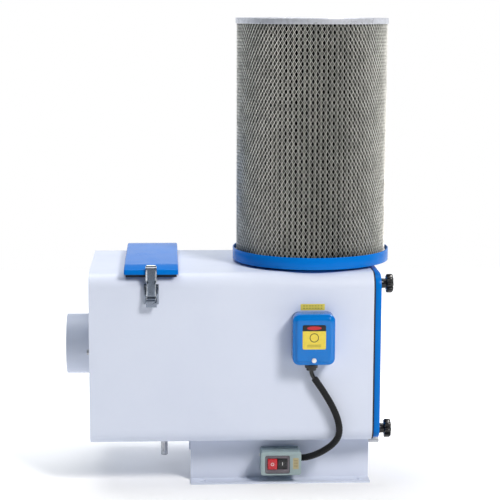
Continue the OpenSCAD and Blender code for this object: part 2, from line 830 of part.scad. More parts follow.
module hand_nut() color("silver") translate([cartridge_x, 0, dish_z + washer_t]) difference() {
    hub_r = 12;
    hub_h = 10;
    wing_len = 48;
    wing_t = 5;
    wing_foot = 2;
    union() {
        cylinder(r = hub_r, h = hub_h);
        translate([-wing_len / 2, -wing_t / 2, wing_foot]) cube([wing_len, wing_t, hand_nut_h - wing_foot]);
    }
    translate([0, 0, -over]) cylinder(r = tie_rod_d / 2 + fit, h = hand_nut_h + 2 * over);
}

// ---------- end cover ----------

module cover_gasket() color("black") along_x(casing_right, cover_gasket_t) difference() {
    casing_outline(over);
    casing_outline(over + gasket_w);
}

module end_cover() color("dodgerblue") difference() {
    along_x(cover_x, cover_depth) casing_outline(cover_inset);
    along_x(cover_x - over, cover_depth - sheet + over) casing_outline(cover_inset + sheet);
    along_x(cover_x, 2 * cover_depth) knob_places() circle(d = stud_d + bolt_play);
}

module weld_nuts() color("silver") along_x(casing_right - sheet - weld_nut_t, weld_nut_t) knob_places()
    difference() {
        circle(d = weld_nut_d, $fn = hex_sides);
        circle(d = stud_d + 2 * fit);
    }

// Star knob with its stem and stud; side_y and side_z choose the corner
module star_knob(side_y, side_z) color("black") {
    y = side_y * (casing_w / 2 - knob_inset);
    z = axis_z + side_z * (casing_h / 2 - knob_inset);
    reach = cover_face - casing_right + sheet + stud_reach;
    lobe_place = knob_d / 2 - knob_lobe_r;
    translate([cover_face, y, z]) rotate([0, 90, 0]) {
        cylinder(d = stem_d, h = stem_len);
        translate([0, 0, stem_len]) linear_extrude(knob_t) {
            circle(r = lobe_place);
            for (i = [0:knob_lobes - 1]) rotate(i * 360 / knob_lobes)
                translate([lobe_place, 0]) circle(r = knob_lobe_r);
        }
        translate([0, 0, -reach]) cylinder(d = stud_d, h = reach + stem_len / 2);
    }
}

// ---------- junction box ----------

module junction_outline(inset) translate([junction_x, junction_z])
    rounded_rect(junction_w - 2 * inset, junction_h - 2 * inset, junction_r - inset);

module junction_base() color("dodgerblue") difference() {
    along_y(front_y - junction_base_d, junction_base_d) junction_outline(0);
    along_y(front_y - junction_base_d - over, junction_base_d - junction_wall + over)
        junction_outline(junction_wall);
    translate([junction_x, 0, junction_z]) rod_y(front_y - 2 * sheet, wire_hole_d / 2, drill);
    translate([gland_x, gland_y, gland_z - over]) cylinder(r = cable_r + fit, h = drill);
}

// Lid in two steps, hollow behind
module junction_lid() color("dodgerblue") {
    wide_face = junction_face + lid_step_d;
    wall = junction_wall;
    difference() {
        union() {
            along_y(wide_face, junction_lid_d - lid_step_d) junction_outline(0);
            along_y(junction_face, junction_lid_d) junction_outline(lid_step);
        }
        along_y(wide_face + wall, junction_lid_d) junction_outline(wall);
        along_y(junction_face + wall, junction_lid_d) junction_outline(lid_step + wall);
    }
}

// Lid screw of the junction box, and the screw in the side of the switch
module box_screws() color("silver") {
    head_t = 2.5;
    side_screw_r = 3;
    side_screw_y = switch_split + 10;
    side_screw_z = switch_z + 12;
    translate([junction_x, 0, lid_screw_z]) rod_y(junction_face - head_t, lid_screw_r, head_t);
    translate([0, side_screw_y, side_screw_z]) rod_x(-switch_w / 2 - head_t, side_screw_r, head_t);
}

// Terminal block on the back wall of the box, above the wire hole
module terminal_block() color("ivory") {
    block = [44, 20, 18];
    block_lift = 16;
    translate([junction_x, front_y - junction_wall - block[1] / 2, junction_z + block_lift])
        cube(block, center = true);
}

module cable_gland() color("black") translate([gland_x, gland_y, gland_z]) {
    translate([0, 0, -gland_nut_h]) cylinder(r = gland_r, h = gland_nut_h);
    translate([0, 0, -gland_h]) cylinder(r = gland_throat_r, h = gland_h);
}

// ---------- cable and conduit ----------

function unit(v) = v / norm(v);

// Direction of the route at point i: straight down at the gland, along -X at the switch
function heading(route, i) =
    i == 0 ? [0, 0, -1] :
    i == len(route) - 1 ? [-1, 0, 0] :
    unit(route[i + 1] - route[i - 1]);

// Ring of points round the route at point i
function ring(route, i, r, sides) =
    let (ahead = heading(route, i), side = unit(cross(ahead, [0, 1, 0])), up = cross(side, ahead))
    [for (k = [0:sides - 1]) route[i] + r * (cos(k * 360 / sides) * side + sin(k * 360 / sides) * up)];

// Tube along the route from one of its points to another
module swept_tube(route, from, to, r, sides) {
    rings = to - from + 1;
    points = [for (i = [from:to]) each ring(route, i, r, sides)];
    walls = [for (i = [0:rings - 2], k = [0:sides - 1])
        let (a = i * sides + k, b = i * sides + (k + 1) % sides) [a, a + sides, b + sides, b]];
    first = [for (k = [0:sides - 1]) k];
    last = [for (k = [sides - 1:-1:0]) (rings - 1) * sides + k];
    polyhedron(points, concat(walls, [first, last]));
}

module inner_cable() color("black") swept_tube(cable_route, 0, conduit_start, cable_r, cable_sides);

module conduit() color("black")
    swept_tube(cable_route, conduit_start, len(cable_route) - 1, conduit_r, cable_sides);

// ---------- switch ----------

module switch_outline(inset) translate([0, switch_z])
    rounded_rect(switch_w - 2 * inset, switch_h - 2 * inset, switch_r - inset);

module switch_body() color("darkseagreen") difference() {
    along_y(switch_split, switch_body_d) switch_outline(0);
    along_y(switch_split - over, switch_body_d - switch_wall + over) switch_outline(switch_wall);
}

module frame_outline(inset) translate([frame_x, frame_z])
    rounded_rect(frame_w - 2 * inset, frame_h - 2 * inset, frame_r - inset);

module switch_cover() color("darkseagreen") difference() {
    along_y(switch_face, switch_cover_d) switch_outline(0);
    along_y(switch_face + switch_wall, switch_cover_d) switch_outline(switch_wall);
    along_y(switch_face - over, switch_cover_d) frame_outline(-fit);
}

// Dark frame set into the cover, with a window for the two buttons
module switch_frame() color("gray") along_y(switch_face + frame_recess, frame_t) difference() {
    frame_outline(0);
    translate([frame_x, button_z])
        square([2 * button_w + button_gap + 2 * slip, button_h + 2 * slip], center = true);
}

// Push button; depth is how far its face lies behind the proud position
module push_button(x, depth) {
    face = switch_face + frame_recess - button_stand + depth;
    translate([x - button_w / 2, face, button_z - button_h / 2])
        cube([button_w, frame_t + button_stand + button_travel, button_h]);
}

module stop_button() color("red") push_button(frame_x - (button_w + button_gap) / 2, 0);

module start_button() color("black") push_button(frame_x + (button_w + button_gap) / 2, button_travel);

// ---------- labels and drains ----------

module label(x, z, size, face) translate([x - size[0] / 2, face - label_t, z - size[1] / 2])
    cube([size[0], label_t, size[1]]);

// Lid label, the strip over the junction box, and the plate beside the buttons
module labels() color("gold") {
    label(junction_x, junction_z - 1, lid_label, junction_face);
    label(junction_x, junction_z + junction_h / 2 + strip_gap + strip_label[1] / 2, strip_label, front_y);
    label(28.5, switch_z, plate_label, switch_face);
}

module drain_pipes() color("silver") {
    translate([inlet_drain_x, 0, base_h - inlet_drain_len])
        tube(inlet_drain_d / 2, inlet_drain_d / 2 - pipe_wall, inlet_drain_len);
    fan_drain();
}

// Elbow under the fan chamber, then a straight run out past the base
module fan_drain() {
    bend_r = base_h - fan_drain_z;
    r = fan_drain_d / 2;
    turn_x = fan_drain_x + bend_r;
    translate([turn_x, fan_drain_y, base_h]) rotate([90, 0, 0]) rotate([0, 0, 180])
        rotate_extrude(angle = 90) translate([bend_r, 0]) difference() {
            circle(r = r);
            circle(r = r - pipe_wall);
        }
    translate([turn_x, fan_drain_y, fan_drain_z]) rotate([0, 90, 0])
        tube(r, r - pipe_wall, fan_drain_end - turn_x);
}

base();
base_bolts();
casing_shell();
inlet_panel();
inlet_duct();
inlet_screws();
cassette_chute();
hatch_cap();
hatch_gasket();
cassette_frame();
cassette_mesh();
latch_plate();
latch_lever();
claw_pin();
latch_claw();
bulkhead();
inlet_cone();
fan_wheel();
fan_hub();
wheel_bolt();
motor_shaft();
rotor();
stator();
motor_housing();
end_shields();
motor_bearings();
motor_stand();
motor_bolts();
tray_collar();
collar_gasket();
cartridge_seal();
tie_rod();
cartridge_bottom_cap();
cartridge_core();
cartridge_media();
cartridge_mesh();
cartridge_top_cap();
hand_nut_washer();
hand_nut();
cover_gasket();
end_cover();
weld_nuts();
star_knob(-1, 1);  // knob_front_top
star_knob(1, 1);  // knob_back_top
star_knob(-1, -1);  // knob_front_bottom
star_knob(1, -1);  // knob_back_bottom
junction_base();
junction_lid();
box_screws();
terminal_block();
cable_gland();
inner_cable();
conduit();
switch_body();
switch_cover();
switch_frame();
stop_button();
start_button();
labels();
drain_pipes();
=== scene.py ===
"""Dust and oil-mist collector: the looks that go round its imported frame.

Everything is in metres, in the frame of the parts: +X from the inlet to the end cover,
+Y to the back, +Z up, with the origin on the floor between the four floor bolts.
"""
import json
from math import cos, pi, radians, sin

import bmesh
import bpy
import numpy as np
from mathutils import Matrix, Vector


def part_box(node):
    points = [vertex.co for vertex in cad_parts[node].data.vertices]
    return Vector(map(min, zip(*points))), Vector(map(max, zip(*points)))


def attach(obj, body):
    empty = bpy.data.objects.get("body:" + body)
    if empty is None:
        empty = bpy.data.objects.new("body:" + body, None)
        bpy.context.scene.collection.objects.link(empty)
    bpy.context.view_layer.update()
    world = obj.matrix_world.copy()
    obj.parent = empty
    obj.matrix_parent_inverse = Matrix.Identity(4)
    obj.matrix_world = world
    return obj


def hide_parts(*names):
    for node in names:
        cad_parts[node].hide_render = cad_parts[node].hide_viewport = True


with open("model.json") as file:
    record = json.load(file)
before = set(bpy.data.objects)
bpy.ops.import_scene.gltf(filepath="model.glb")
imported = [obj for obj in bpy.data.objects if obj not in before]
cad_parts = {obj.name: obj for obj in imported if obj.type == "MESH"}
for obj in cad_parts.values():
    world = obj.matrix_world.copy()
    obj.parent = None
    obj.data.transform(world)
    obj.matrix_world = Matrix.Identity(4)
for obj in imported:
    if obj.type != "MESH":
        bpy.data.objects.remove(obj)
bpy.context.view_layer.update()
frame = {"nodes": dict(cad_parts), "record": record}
MM = 0.001
BODY_OF = {node: body for body, nodes in frame["record"]["behaviour"]["bodies"].items() for node in nodes}

# ---------------------------------------------------------------- shader graphs


class Value:
    """One output in a shader graph. The operators add the Math node that they stand for."""

    def __init__(self, graph, socket):
        self.graph = graph
        self.socket = socket

    def math(self, operation, *others):
        """This value and then the others, through one Math node."""
        return self.graph.add("ShaderNodeMath", {"operation": operation}, dict(enumerate((self, *others))))

    def math_after(self, first, operation):
        """A number and then this value, for the reflected operators."""
        return self.graph.add("ShaderNodeMath", {"operation": operation}, {0: first, 1: self})

    def __add__(self, other):
        return self.math("ADD", other)

    def __sub__(self, other):
        return self.math("SUBTRACT", other)

    def __rsub__(self, other):
        return self.math_after(other, "SUBTRACT")

    def __mul__(self, other):
        return self.math("MULTIPLY", other)

    def __truediv__(self, other):
        return self.math("DIVIDE", other)

    def __rtruediv__(self, other):
        return self.math_after(other, "DIVIDE")

    def __pow__(self, other):
        return self.math("POWER", other)

    def __lt__(self, other):
        return self.math("LESS_THAN", other)

    def __gt__(self, other):
        return self.math("GREATER_THAN", other)

    def __abs__(self):
        return self.math("ABSOLUTE")

    __radd__ = __add__
    __rmul__ = __mul__

    def wave(self, length):
        """0 to 1 and back once in every length."""
        return self.math("MULTIPLY", 2 * pi / length).math("COSINE") * 0.5 + 0.5

    def ramp(self, low, high, start=0.0, end=1.0):
        """Smooth climb from start to end as this value goes from low to high."""
        settings = {"interpolation_type": "SMOOTHSTEP"}
        return self.graph.add("ShaderNodeMapRange", settings, {0: self, 1: low, 2: high, 3: start, 4: end})


class Graph:
    """The nodes of a material or of the surroundings, and the one way to add more."""

    def __init__(self, holder):
        holder.use_nodes = True
        self.tree = holder.node_tree

    def put(self, socket, value):
        """Sets a socket to a number, a colour or a vector, or links a Value to it."""
        if isinstance(value, Value):
            self.tree.links.new(value.socket, socket)
        elif hasattr(value, "__len__") and len(value) < len(socket.default_value):
            socket.default_value = (*value, 1.0)
        else:
            socket.default_value = value

    def add(self, kind, settings=None, sockets=None, output=0):
        """A node of one type: its settings first, then the values or links of its sockets.

        Gives back the output of that name or number, or a list of them for a tuple.
        """
        node = self.tree.nodes.new(kind)
        for name, value in (settings or {}).items():
            setattr(node, name, value)
        for name, value in (sockets or {}).items():
            self.put(node.inputs[name], value)
        if isinstance(output, tuple):
            return [Value(self, node.outputs[name]) for name in output]
        return Value(self, node.outputs[output])

    def split(self, vector):
        """The three parts of a vector."""
        return self.add("ShaderNodeSeparateXYZ", None, {0: vector}, ("X", "Y", "Z"))

    def mix(self, factor, first, second):
        """One colour going over to another."""
        return self.add("ShaderNodeMix", {"data_type": "RGBA"}, {0: factor, 6: first, 7: second}, 2)


class Finish(Graph):
    """A material with one Principled shader, and the patterns that feed it."""

    def __init__(self, name, **constants):
        self.material = bpy.data.materials.new(name)
        super().__init__(self.material)
        self.shader = self.tree.nodes["Principled BSDF"]
        for socket, value in constants.items():
            self.put(self.shader.inputs[socket.replace("_", " ").title().replace("Ior", "IOR")], value)

    def place(self, stretch):
        """Object coordinates, stretched."""
        where = self.add("ShaderNodeTexCoord", output="Object")
        return self.add("ShaderNodeMapping", None, {"Vector": where, "Scale": stretch})

    def axes(self, middle=(0, 0, 0)):
        """X, Y and Z of the surface from a middle point."""
        where = self.add("ShaderNodeTexCoord", output="Object")
        return self.split(self.add("ShaderNodeVectorMath", {"operation": "SUBTRACT"}, {0: where, 1: middle}))

    def along(self):
        """The piece's own UV map: round the tube, and metres along it."""
        return self.split(self.add("ShaderNodeTexCoord", output="UV"))[:2]

    def noise(self, size, detail=2.0, roughness=0.5, stretch=(1, 1, 1)):
        """Soft noise, 0 to 1, with lumps of that size in metres."""
        return self.add("ShaderNodeTexNoise", None, {
            "Vector": self.place(stretch), "Scale": 1 / size, "Detail": detail, "Roughness": roughness})

    def cells(self, size, feature="F1", output="Distance"):
        """Voronoi cells of that size in metres."""
        sockets = {"Vector": self.place((1, 1, 1)), "Scale": 1 / size}
        return self.add("ShaderNodeTexVoronoi", {"feature": feature}, sockets, output)

    def grey(self, colour):
        """The brightness of a colour output."""
        return self.add("ShaderNodeRGBToBW", None, {0: colour})

    def colour(self, value):
        """Feeds the base colour."""
        self.put(self.shader.inputs["Base Color"], value)

    def rough(self, value):
        """Feeds the roughness."""
        self.put(self.shader.inputs["Roughness"], value)

    def metal(self, value):
        """Feeds how metallic the surface is."""
        self.put(self.shader.inputs["Metallic"], value)

    def bump(self, *layers):
        """Bump nodes in a chain: each layer is a height from 0 to 1 and its depth in metres."""
        normal = {}
        for height, depth in layers:
            sockets = {"Height": height, "Distance": depth, "Strength": 1.0, **normal}
            normal = {"Normal": self.add("ShaderNodeBump", None, sockets)}
        self.put(self.shader.inputs["Normal"], normal["Normal"])


def powder_coat(name, colour, shade, roughness, peel, gloss=0.3):
    """Powder coat: orange peel, a slow drift of tone, and faint rub marks in the gloss."""
    finish = Finish(name, specular_ior_level=gloss)
    drift = finish.noise(0.11, 3.0)
    dust = finish.noise(0.012, 4.0, 0.65)
    finish.colour(finish.mix(drift.ramp(0.3, 0.75) * 0.5 + dust.ramp(0.5, 0.8) * 0.2, colour, shade))
    rubbed = finish.noise(0.035, 4.0, 0.6, (1, 1, 0.35))
    finish.rough(rubbed.ramp(0.25, 0.8, roughness - 0.02, roughness + 0.04))
    finish.bump((finish.noise(0.0022, 1.0), peel), (finish.noise(0.0006, 1.0), peel * 0.25))
    return finish.material


def galvanised(name, colour, spangle=0.006, roughness=0.34, bare=0.95):
    """Zinc-coated sheet: spangle crystals of a few millimetres, and fine rolling lines."""
    finish = Finish(name)
    crystal = finish.grey(finish.cells(spangle, output="Color"))
    scuff = finish.noise(0.02, 4.0, 0.65)
    dark = tuple(c * 0.62 for c in colour)
    finish.colour(finish.mix(crystal * 0.55 + scuff.ramp(0.45, 0.8) * 0.4, colour, dark))
    finish.metal(scuff.ramp(0.3, 0.8, bare, bare * 0.8))
    finish.rough(crystal * 0.16 + (roughness - 0.08) + scuff * 0.06)
    finish.bump((finish.cells(spangle), 0.00006), (finish.noise(0.0008, 2.0), 0.00003))
    return finish.material


def brushed(name, colour, roughness, grain, wear_and_highlight=None):
    """Drawn or turned metal: streaks along one axis, a few darker stains, and bright places from an optional
    mask; the latch strap's mask is a painted highlight.
    """
    finish = Finish(name)
    scratches, highlight_grey = 0.00005, (0.58, 0.61, 0.66)
    streak = finish.noise(0.0009, 3.0, 0.6, grain)
    stain = finish.noise(0.014, 3.0)
    tone = finish.mix(stain.ramp(0.4, 0.75) * 0.3 + streak * 0.25, colour, tuple(c * 0.55 for c in colour))
    # the optional mask paints a highlight grey over the tone
    finish.colour(finish.mix(wear_and_highlight(finish), tone, highlight_grey) if wear_and_highlight else tone)
    finish.metal(stain.ramp(0.3, 0.8, 1.0, 0.85))
    finish.rough(streak * 0.22 + stain * 0.1 + (roughness - 0.14))
    finish.bump((streak, scratches), (finish.noise(0.004, 2.0), scratches))
    return finish.material


def moulded(name, colour, wear_and_highlight, roughness, mark=None):
    """Moulded plastic: fine spark-eroded grain, a slightly paler rubbed look, and a white mark."""
    finish = Finish(name, specular_ior_level=0.5)
    grain, depth, mark_white = 0.00035, 0.00003, (0.75, 0.75, 0.75)
    rub = finish.noise(0.009, 4.0, 0.62)
    # in moulded plastic this colour is only the paler rubbed wear
    tone = finish.mix(rub.ramp(0.45, 0.8) * 0.7, colour, wear_and_highlight)
    finish.colour(finish.mix(mark(finish), tone, mark_white) if mark else tone)
    finish.rough(rub.ramp(0.3, 0.75, roughness + 0.06, roughness - 0.08))
    finish.bump((finish.cells(grain), depth), (finish.noise(0.003, 2.0), depth))
    return finish.material


def rubber(name, colour, dusty):
    """Foam and rubber: open pores, and dust in the hollows."""
    finish = Finish(name, specular_ior_level=0.3)
    pores = finish.cells(0.0011, "SMOOTH_F1")
    dust = finish.noise(0.01, 4.0, 0.7)
    finish.colour(finish.mix(dust.ramp(0.5, 0.85) * 0.6 + pores * 0.2, colour, dusty))
    finish.rough(dust.ramp(0.3, 0.8, 0.66, 0.86))
    finish.bump((pores, 0.0002), (finish.noise(0.002, 3.0), 0.0001))
    return finish.material


def sleeve_rubber(name):
    """Braided sleeve: two sets of threads crossing over a tube, from its UV map."""
    finish = Finish(name, specular_ior_level=0.25)
    around, along = finish.along()
    threads, rise = 20, 4.2 * MM
    left = (around * threads + along / rise).wave(1.0)
    right = (around * threads - along / rise).wave(1.0)
    weave = left.math("MAXIMUM", right)
    fluff = finish.noise(0.004, 4.0, 0.7)
    # partly painted shade: gaps between threads darker, thread tops paler; the fluff part is lint
    lint_and_gap_shade = weave * 0.3 + fluff.ramp(0.55, 0.85) * 0.5
    finish.colour(finish.mix(lint_and_gap_shade, (0.003, 0.003, 0.0035), (0.02, 0.02, 0.022)))
    finish.rough(weave.ramp(0.2, 1.0, 0.62, 0.4))
    finish.bump((weave, 0.0003), (finish.noise(0.0006, 2.0), 0.00005))
    return finish.material


def pleated_paper(name, axis_x, outer_r):
    """Filter paper: long fibres, a grey-green bloom, and painted shade that darkens the deep folds to near
    black.
    """
    finish = Finish(name, specular_ior_level=0.15)
    fibre = finish.noise(0.0012, 4.0, 0.7, (1, 1, 0.25))
    bloom = finish.noise(0.05, 3.0, 0.6, (1, 1, 0.5))
    x, y, _ = finish.axes((axis_x, 0, 0))
    # painted shade: near black at the bottom of each fold, climbing to the paper's tone at the crest
    fold_shade_mask = ((x ** 2 + y ** 2) ** 0.5).ramp(outer_r - 14 * MM, outer_r - 0.5 * MM)
    tone = finish.mix(bloom.ramp(0.3, 0.7), (0.27, 0.27, 0.245), (0.20, 0.21, 0.19))
    tone = finish.mix(fibre.ramp(0.4, 0.75) * 0.6, tone, (0.36, 0.36, 0.32))
    finish.colour(finish.mix(fold_shade_mask, (0.006, 0.006, 0.006), tone))
    finish.rough(fibre.ramp(0.2, 0.8, 0.8, 0.95))
    finish.bump((fibre, 0.00025), (finish.noise(0.006, 2.0), 0.0003))
    return finish.material


def strand_metal(name):
    """Expanded metal: warm grey galvanised strands with dulled and bright lengths."""
    finish = Finish(name)
    patch = finish.noise(0.02, 4.0, 0.6)
    nick = finish.noise(0.0012, 3.0, 0.6)
    finish.colour(finish.mix(patch.ramp(0.35, 0.7), (0.74, 0.74, 0.70), (0.52, 0.52, 0.49)))
    finish.metal(patch.ramp(0.3, 0.8, 0.45, 0.25))
    finish.rough(nick.ramp(0.2, 0.8, 0.3, 0.5))
    finish.bump((nick, 0.00006), (finish.noise(0.004, 2.0), 0.00005))
    return finish.material


def wire_pack(name):
    """Knitted wire: loops of bright wire over gaps painted near-black as shade inside the pack, crossing
    both ways.
    """
    finish = Finish(name)
    _, y, z = finish.axes()
    gauge, course = 4.2 * MM, 3.4 * MM
    loops = (y + z * 0.35).wave(gauge) * (z + (y.wave(2 * gauge) - 0.5) * 3 * MM).wave(course)
    tangle = finish.noise(0.0016, 4.0, 0.7)
    wire = (loops * 0.75 + tangle * 0.5).ramp(0.3, 0.65)
    # painted shade: the gaps between the loops are near-black
    finish.colour(finish.mix(wire, (0.02, 0.02, 0.02), (0.55, 0.55, 0.53)))
    finish.metal(wire * 0.9)
    finish.rough(wire.ramp(0.0, 1.0, 0.85, 0.32))
    finish.bump((wire, 0.0008), (tangle, 0.0002))
    return finish.material


def laminations(name):
    """Motor core: thin steel stampings stacked along X, under amber varnish."""
    finish = Finish(name, coat_roughness=0.2)
    stack = finish.axes()[0].wave(1.2 * MM)
    varnish = finish.noise(0.02, 4.0, 0.6)
    finish.colour(finish.mix(varnish.ramp(0.35, 0.7), (0.34, 0.17, 0.07), (0.18, 0.10, 0.06)))
    finish.rough(stack * 0.15 + varnish * 0.2 + 0.3)
    finish.metal(stack * 0.3)
    finish.bump((stack, 0.0002), (varnish, 0.0002))
    return finish.material


def printed(name, ground, shapes, middle):
    """Printed plate: a ground colour, then each shape's mask and colour, placed from the plate's middle."""
    finish = Finish(name, specular_ior_level=0.5)
    fade = finish.noise(0.006, 3.0)
    shade = finish.mix(fade.ramp(0.35, 0.75) * 0.5, ground, tuple(c * 0.82 for c in ground))
    for mask, colour in shapes(finish, middle):
        shade = finish.mix(mask, shade, colour)
    finish.colour(shade)
    finish.rough(fade.ramp(0.3, 0.8, 0.35, 0.5))
    finish.bump((finish.noise(0.0015, 2.0), 0.00003))
    return finish.material


WHITE = powder_coat("white_powder_coat", (0.66, 0.71, 0.83), (0.62, 0.67, 0.80), 0.36, 0.00006)
BLUE = powder_coat("blue_powder_coat", (0.0005, 0.165, 0.60), (0.0005, 0.145, 0.54), 0.24, 0.00002, 0.1)
BOX_BLUE = powder_coat("box_blue_enamel", (0.001, 0.17, 0.57), (0.001, 0.15, 0.51), 0.1, 0.00002, 0.32)
GREY = powder_coat("motor_grey_paint", (0.17, 0.18, 0.20), (0.12, 0.13, 0.145), 0.4, 0.00012)
SWITCH = powder_coat("switch_hammer_grey", (0.31, 0.395, 0.405), (0.26, 0.34, 0.35), 0.34, 0.00009, 0.4)
ZINC = galvanised("zinc_plate", (0.62, 0.63, 0.66), 0.0035)
SCREW = galvanised("bright_screw_heads", (0.9, 0.9, 0.9), 0.002, 0.3, 0.15)
CAP_ZINC = galvanised("cap_sheet", (0.68, 0.70, 0.76), 0.007, 0.3, 0.45)
CHROME = brushed("latch_chrome", (0.24, 0.275, 0.34), 0.2, (1, 1, 0.06))
# Near-black finish for the cassette chute: painted shade under the hatch cap's front edge.
CHUTE_SHADE = powder_coat("painted_shade_dark", (0.022, 0.026, 0.04), (0.03, 0.034, 0.05), 0.5, 0.00005)
STEEL = brushed("turned_steel", (0.55, 0.56, 0.58), 0.28, (0.06, 1, 1))
BLACK = moulded("black_moulding", (0.006, 0.006, 0.007), (0.02, 0.02, 0.022), 0.2)
FRAME = moulded("frame_moulding", (0.13, 0.115, 0.135), (0.2, 0.18, 0.2), 0.4)


def button_middle(node):
    """Middle of a button's box."""
    low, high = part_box(node)
    return (low + high) / 2


def stop_mark(finish):
    """A ring."""
    x, _, z = finish.axes(button_middle("stop_button"))
    ring_r, line = 2.7 * MM, 0.9 * MM
    return abs((x ** 2 + z ** 2) ** 0.5 - ring_r) < line / 2


def start_mark(finish):
    """An upright bar."""
    x, _, z = finish.axes(button_middle("start_button"))
    wide, tall = 1.0 * MM, 6.4 * MM
    return (abs(x) < wide / 2) * (abs(z) < tall / 2)


RED = moulded("red_button", (0.50, 0.02, 0.03), (0.62, 0.06, 0.06), 0.25, mark=stop_mark)
START = moulded("start_button_black", (0.012, 0.012, 0.014), (0.04, 0.04, 0.043), 0.3, mark=start_mark)
IVORY = moulded("ivory_moulding", (0.72, 0.68, 0.55), (0.62, 0.57, 0.44), 0.4)
RUBBER = rubber("foam_rubber", (0.014, 0.014, 0.015), (0.07, 0.068, 0.065))
SLEEVE = sleeve_rubber("braided_sleeve")
STRAND = strand_metal("expanded_steel")
WIRE = wire_pack("knitted_wire")
CORE = laminations("core_stampings")

# ---------------------------------------------------------------- shapes


def grid_faces(rows, columns):
    """Quads between neighbouring rows of a grid whose last column joins the first."""
    row, column = np.meshgrid(np.arange(rows - 1), np.arange(columns), indexing="ij")
    after = (column + 1) % columns
    quads = np.stack((row * columns + column, row * columns + after,
                      (row + 1) * columns + after, (row + 1) * columns + column), -1)
    return quads.reshape(-1, 4)


def capped_faces(rows, columns):
    """The same quads with one flat face over the first row and one over the last."""
    first = list(range(columns))
    last = [(rows - 1) * columns + k for k in first]
    return grid_faces(rows, columns).tolist() + [first[::-1], last]


def finish_piece(piece, material, slot, body, *nodes):
    """Gives a piece its material, and lets it ride on a body in place of CAD nodes. The slot is not used."""
    piece.data.materials.clear()
    piece.data.materials.append(material)
    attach(piece, body)
    if nodes:
        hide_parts(*nodes)


def smooth(mesh, sharp):
    """Smooth shading that stops at edges sharper than that many degrees."""
    mesh.shade_smooth()
    mesh.set_sharp_from_angle(angle=radians(sharp))


def modify(piece, name, kind, **settings):
    """Adds a modifier with its settings."""
    modifier = piece.modifiers.new(name, kind)
    for setting, value in settings.items():
        setattr(modifier, setting, value)


def bake_modifiers(piece, sharp):
    """Applies every modifier of a piece, in order, and smooths the mesh that comes out."""
    bpy.context.view_layer.update()
    result = bpy.data.meshes.new_from_object(piece.evaluated_get(bpy.context.evaluated_depsgraph_get()))
    piece.modifiers.clear()
    old = piece.data
    piece.data = result
    bpy.data.meshes.remove(old)
    result.name = piece.name
    smooth(result, sharp)


def mesh_piece(name, points, faces, sharp=40):
    """A mesh object at the origin with outward faces, smooth but for edges sharper than the angle."""
    mesh = bpy.data.meshes.new(name)
    corners = np.asarray(points, float).reshape(-1, 3).tolist()
    mesh.from_pydata(corners, [], [list(map(int, face)) for face in faces])
    work = bmesh.new()
    work.from_mesh(mesh)
    bmesh.ops.remove_doubles(work, verts=work.verts, dist=1e-6)
    bmesh.ops.recalc_face_normals(work, faces=work.faces)
    work.to_mesh(mesh)
    work.free()
    smooth(mesh, sharp)
    piece = bpy.data.objects.new(name, mesh)
    bpy.context.scene.collection.objects.link(piece)
    return piece


def spun(name, middle, outline, turns=160):
    """A closed [radius, height] outline turned round a vertical axis through middle.

    Point (i, k) is middle + (r_i cos a_k, r_i sin a_k, h_i) with a_k in equal steps.
    """
    angle = np.arange(turns) * 2 * pi / turns
    radius, height = outline[:, :1], outline[:, 1:]
    points = np.stack((middle[0] + radius * np.cos(angle), middle[1] + radius * np.sin(angle),
                       middle[2] + height + 0 * angle), -1)
    points = np.concatenate((points, points[:1]))
    return mesh_piece(name, points, grid_faces(len(points), turns))


def rolled(corners, steps=4):
    """Rounds the corners of a closed outline, given in millimetres as (radius, height, roll).

    The arc starts a distance d = roll * tan(turn / 2) before the corner, or what the sides
    allow, and ends as far past it. It is a quadratic blend between the two points through
    the corner.
    """
    table = np.array(corners, float) * MM
    corners, roll = table[:, :2], table[:, 2]
    before, after = np.roll(corners, 1, 0) - corners, np.roll(corners, -1, 0) - corners
    sides = np.linalg.norm(before, axis=1), np.linalg.norm(after, axis=1)
    before, after = before / sides[0][:, None], after / sides[1][:, None]
    turn = pi - np.arccos(np.clip((before * after).sum(1), -1, 1))
    reach = np.minimum(roll * np.tan(turn / 2), 0.49 * np.minimum(*sides))[:, None]
    start, end = corners + before * reach, corners + after * reach
    t = np.linspace(0, 1, steps)[None, :, None]
    arc = (1 - t) ** 2 * start[:, None] + 2 * t * (1 - t) * corners[:, None] + t ** 2 * end[:, None]
    return arc.reshape(-1, 2)


def ease(value):
    """0 below 0, 1 above 1, and 3 v^2 - 2 v^3 between them."""
    value = np.clip(value, 0, 1)
    return value ** 2 * (3 - 2 * value)


def rounded_rectangle(width, height, radius):
    """Outline of a rectangle about (0, 0), anticlockwise, with a quarter circle at each corner."""
    angle = np.linspace(0, pi / 2, 7)
    arc = np.stack((np.cos(angle), np.sin(angle)), -1) * radius
    parts = []
    for quarter, (sx, sy) in enumerate(((1, 1), (-1, 1), (-1, -1), (1, -1))):
        turn = np.array([[cos(quarter * pi / 2), sin(quarter * pi / 2)],
                         [-sin(quarter * pi / 2), cos(quarter * pi / 2)]])
        parts.append(arc @ turn + (sx * (width / 2 - radius), sy * (height / 2 - radius)))
    return np.concatenate(parts)


def pressed(name, middle, size, radius, profile, press=None, sharp=50):
    """A pressed shell seen from the front: a profile of [inset, depth] steps carried round a
    rounded rectangle in X and Z. Each step is the rectangle smaller by the inset on every
    side, at middle Y plus the depth, and the first and last rings are closed flat. press
    moves points along Y by a function of X and Z.
    """
    rings = []
    for inset, depth in profile:
        corner = max(radius - inset, 0.15 * radius)
        ring = rounded_rectangle(size[0] - 2 * inset, size[1] - 2 * inset, corner)
        rings.append(np.stack((middle[0] + ring[:, 0], np.full(len(ring), middle[1] + depth),
                               middle[2] + ring[:, 1]), -1))
    points = np.stack(rings)
    if press:
        points[..., 1] += press(points[..., 0], points[..., 2])
    return mesh_piece(name, points, capped_faces(*points.shape[:2]), sharp)


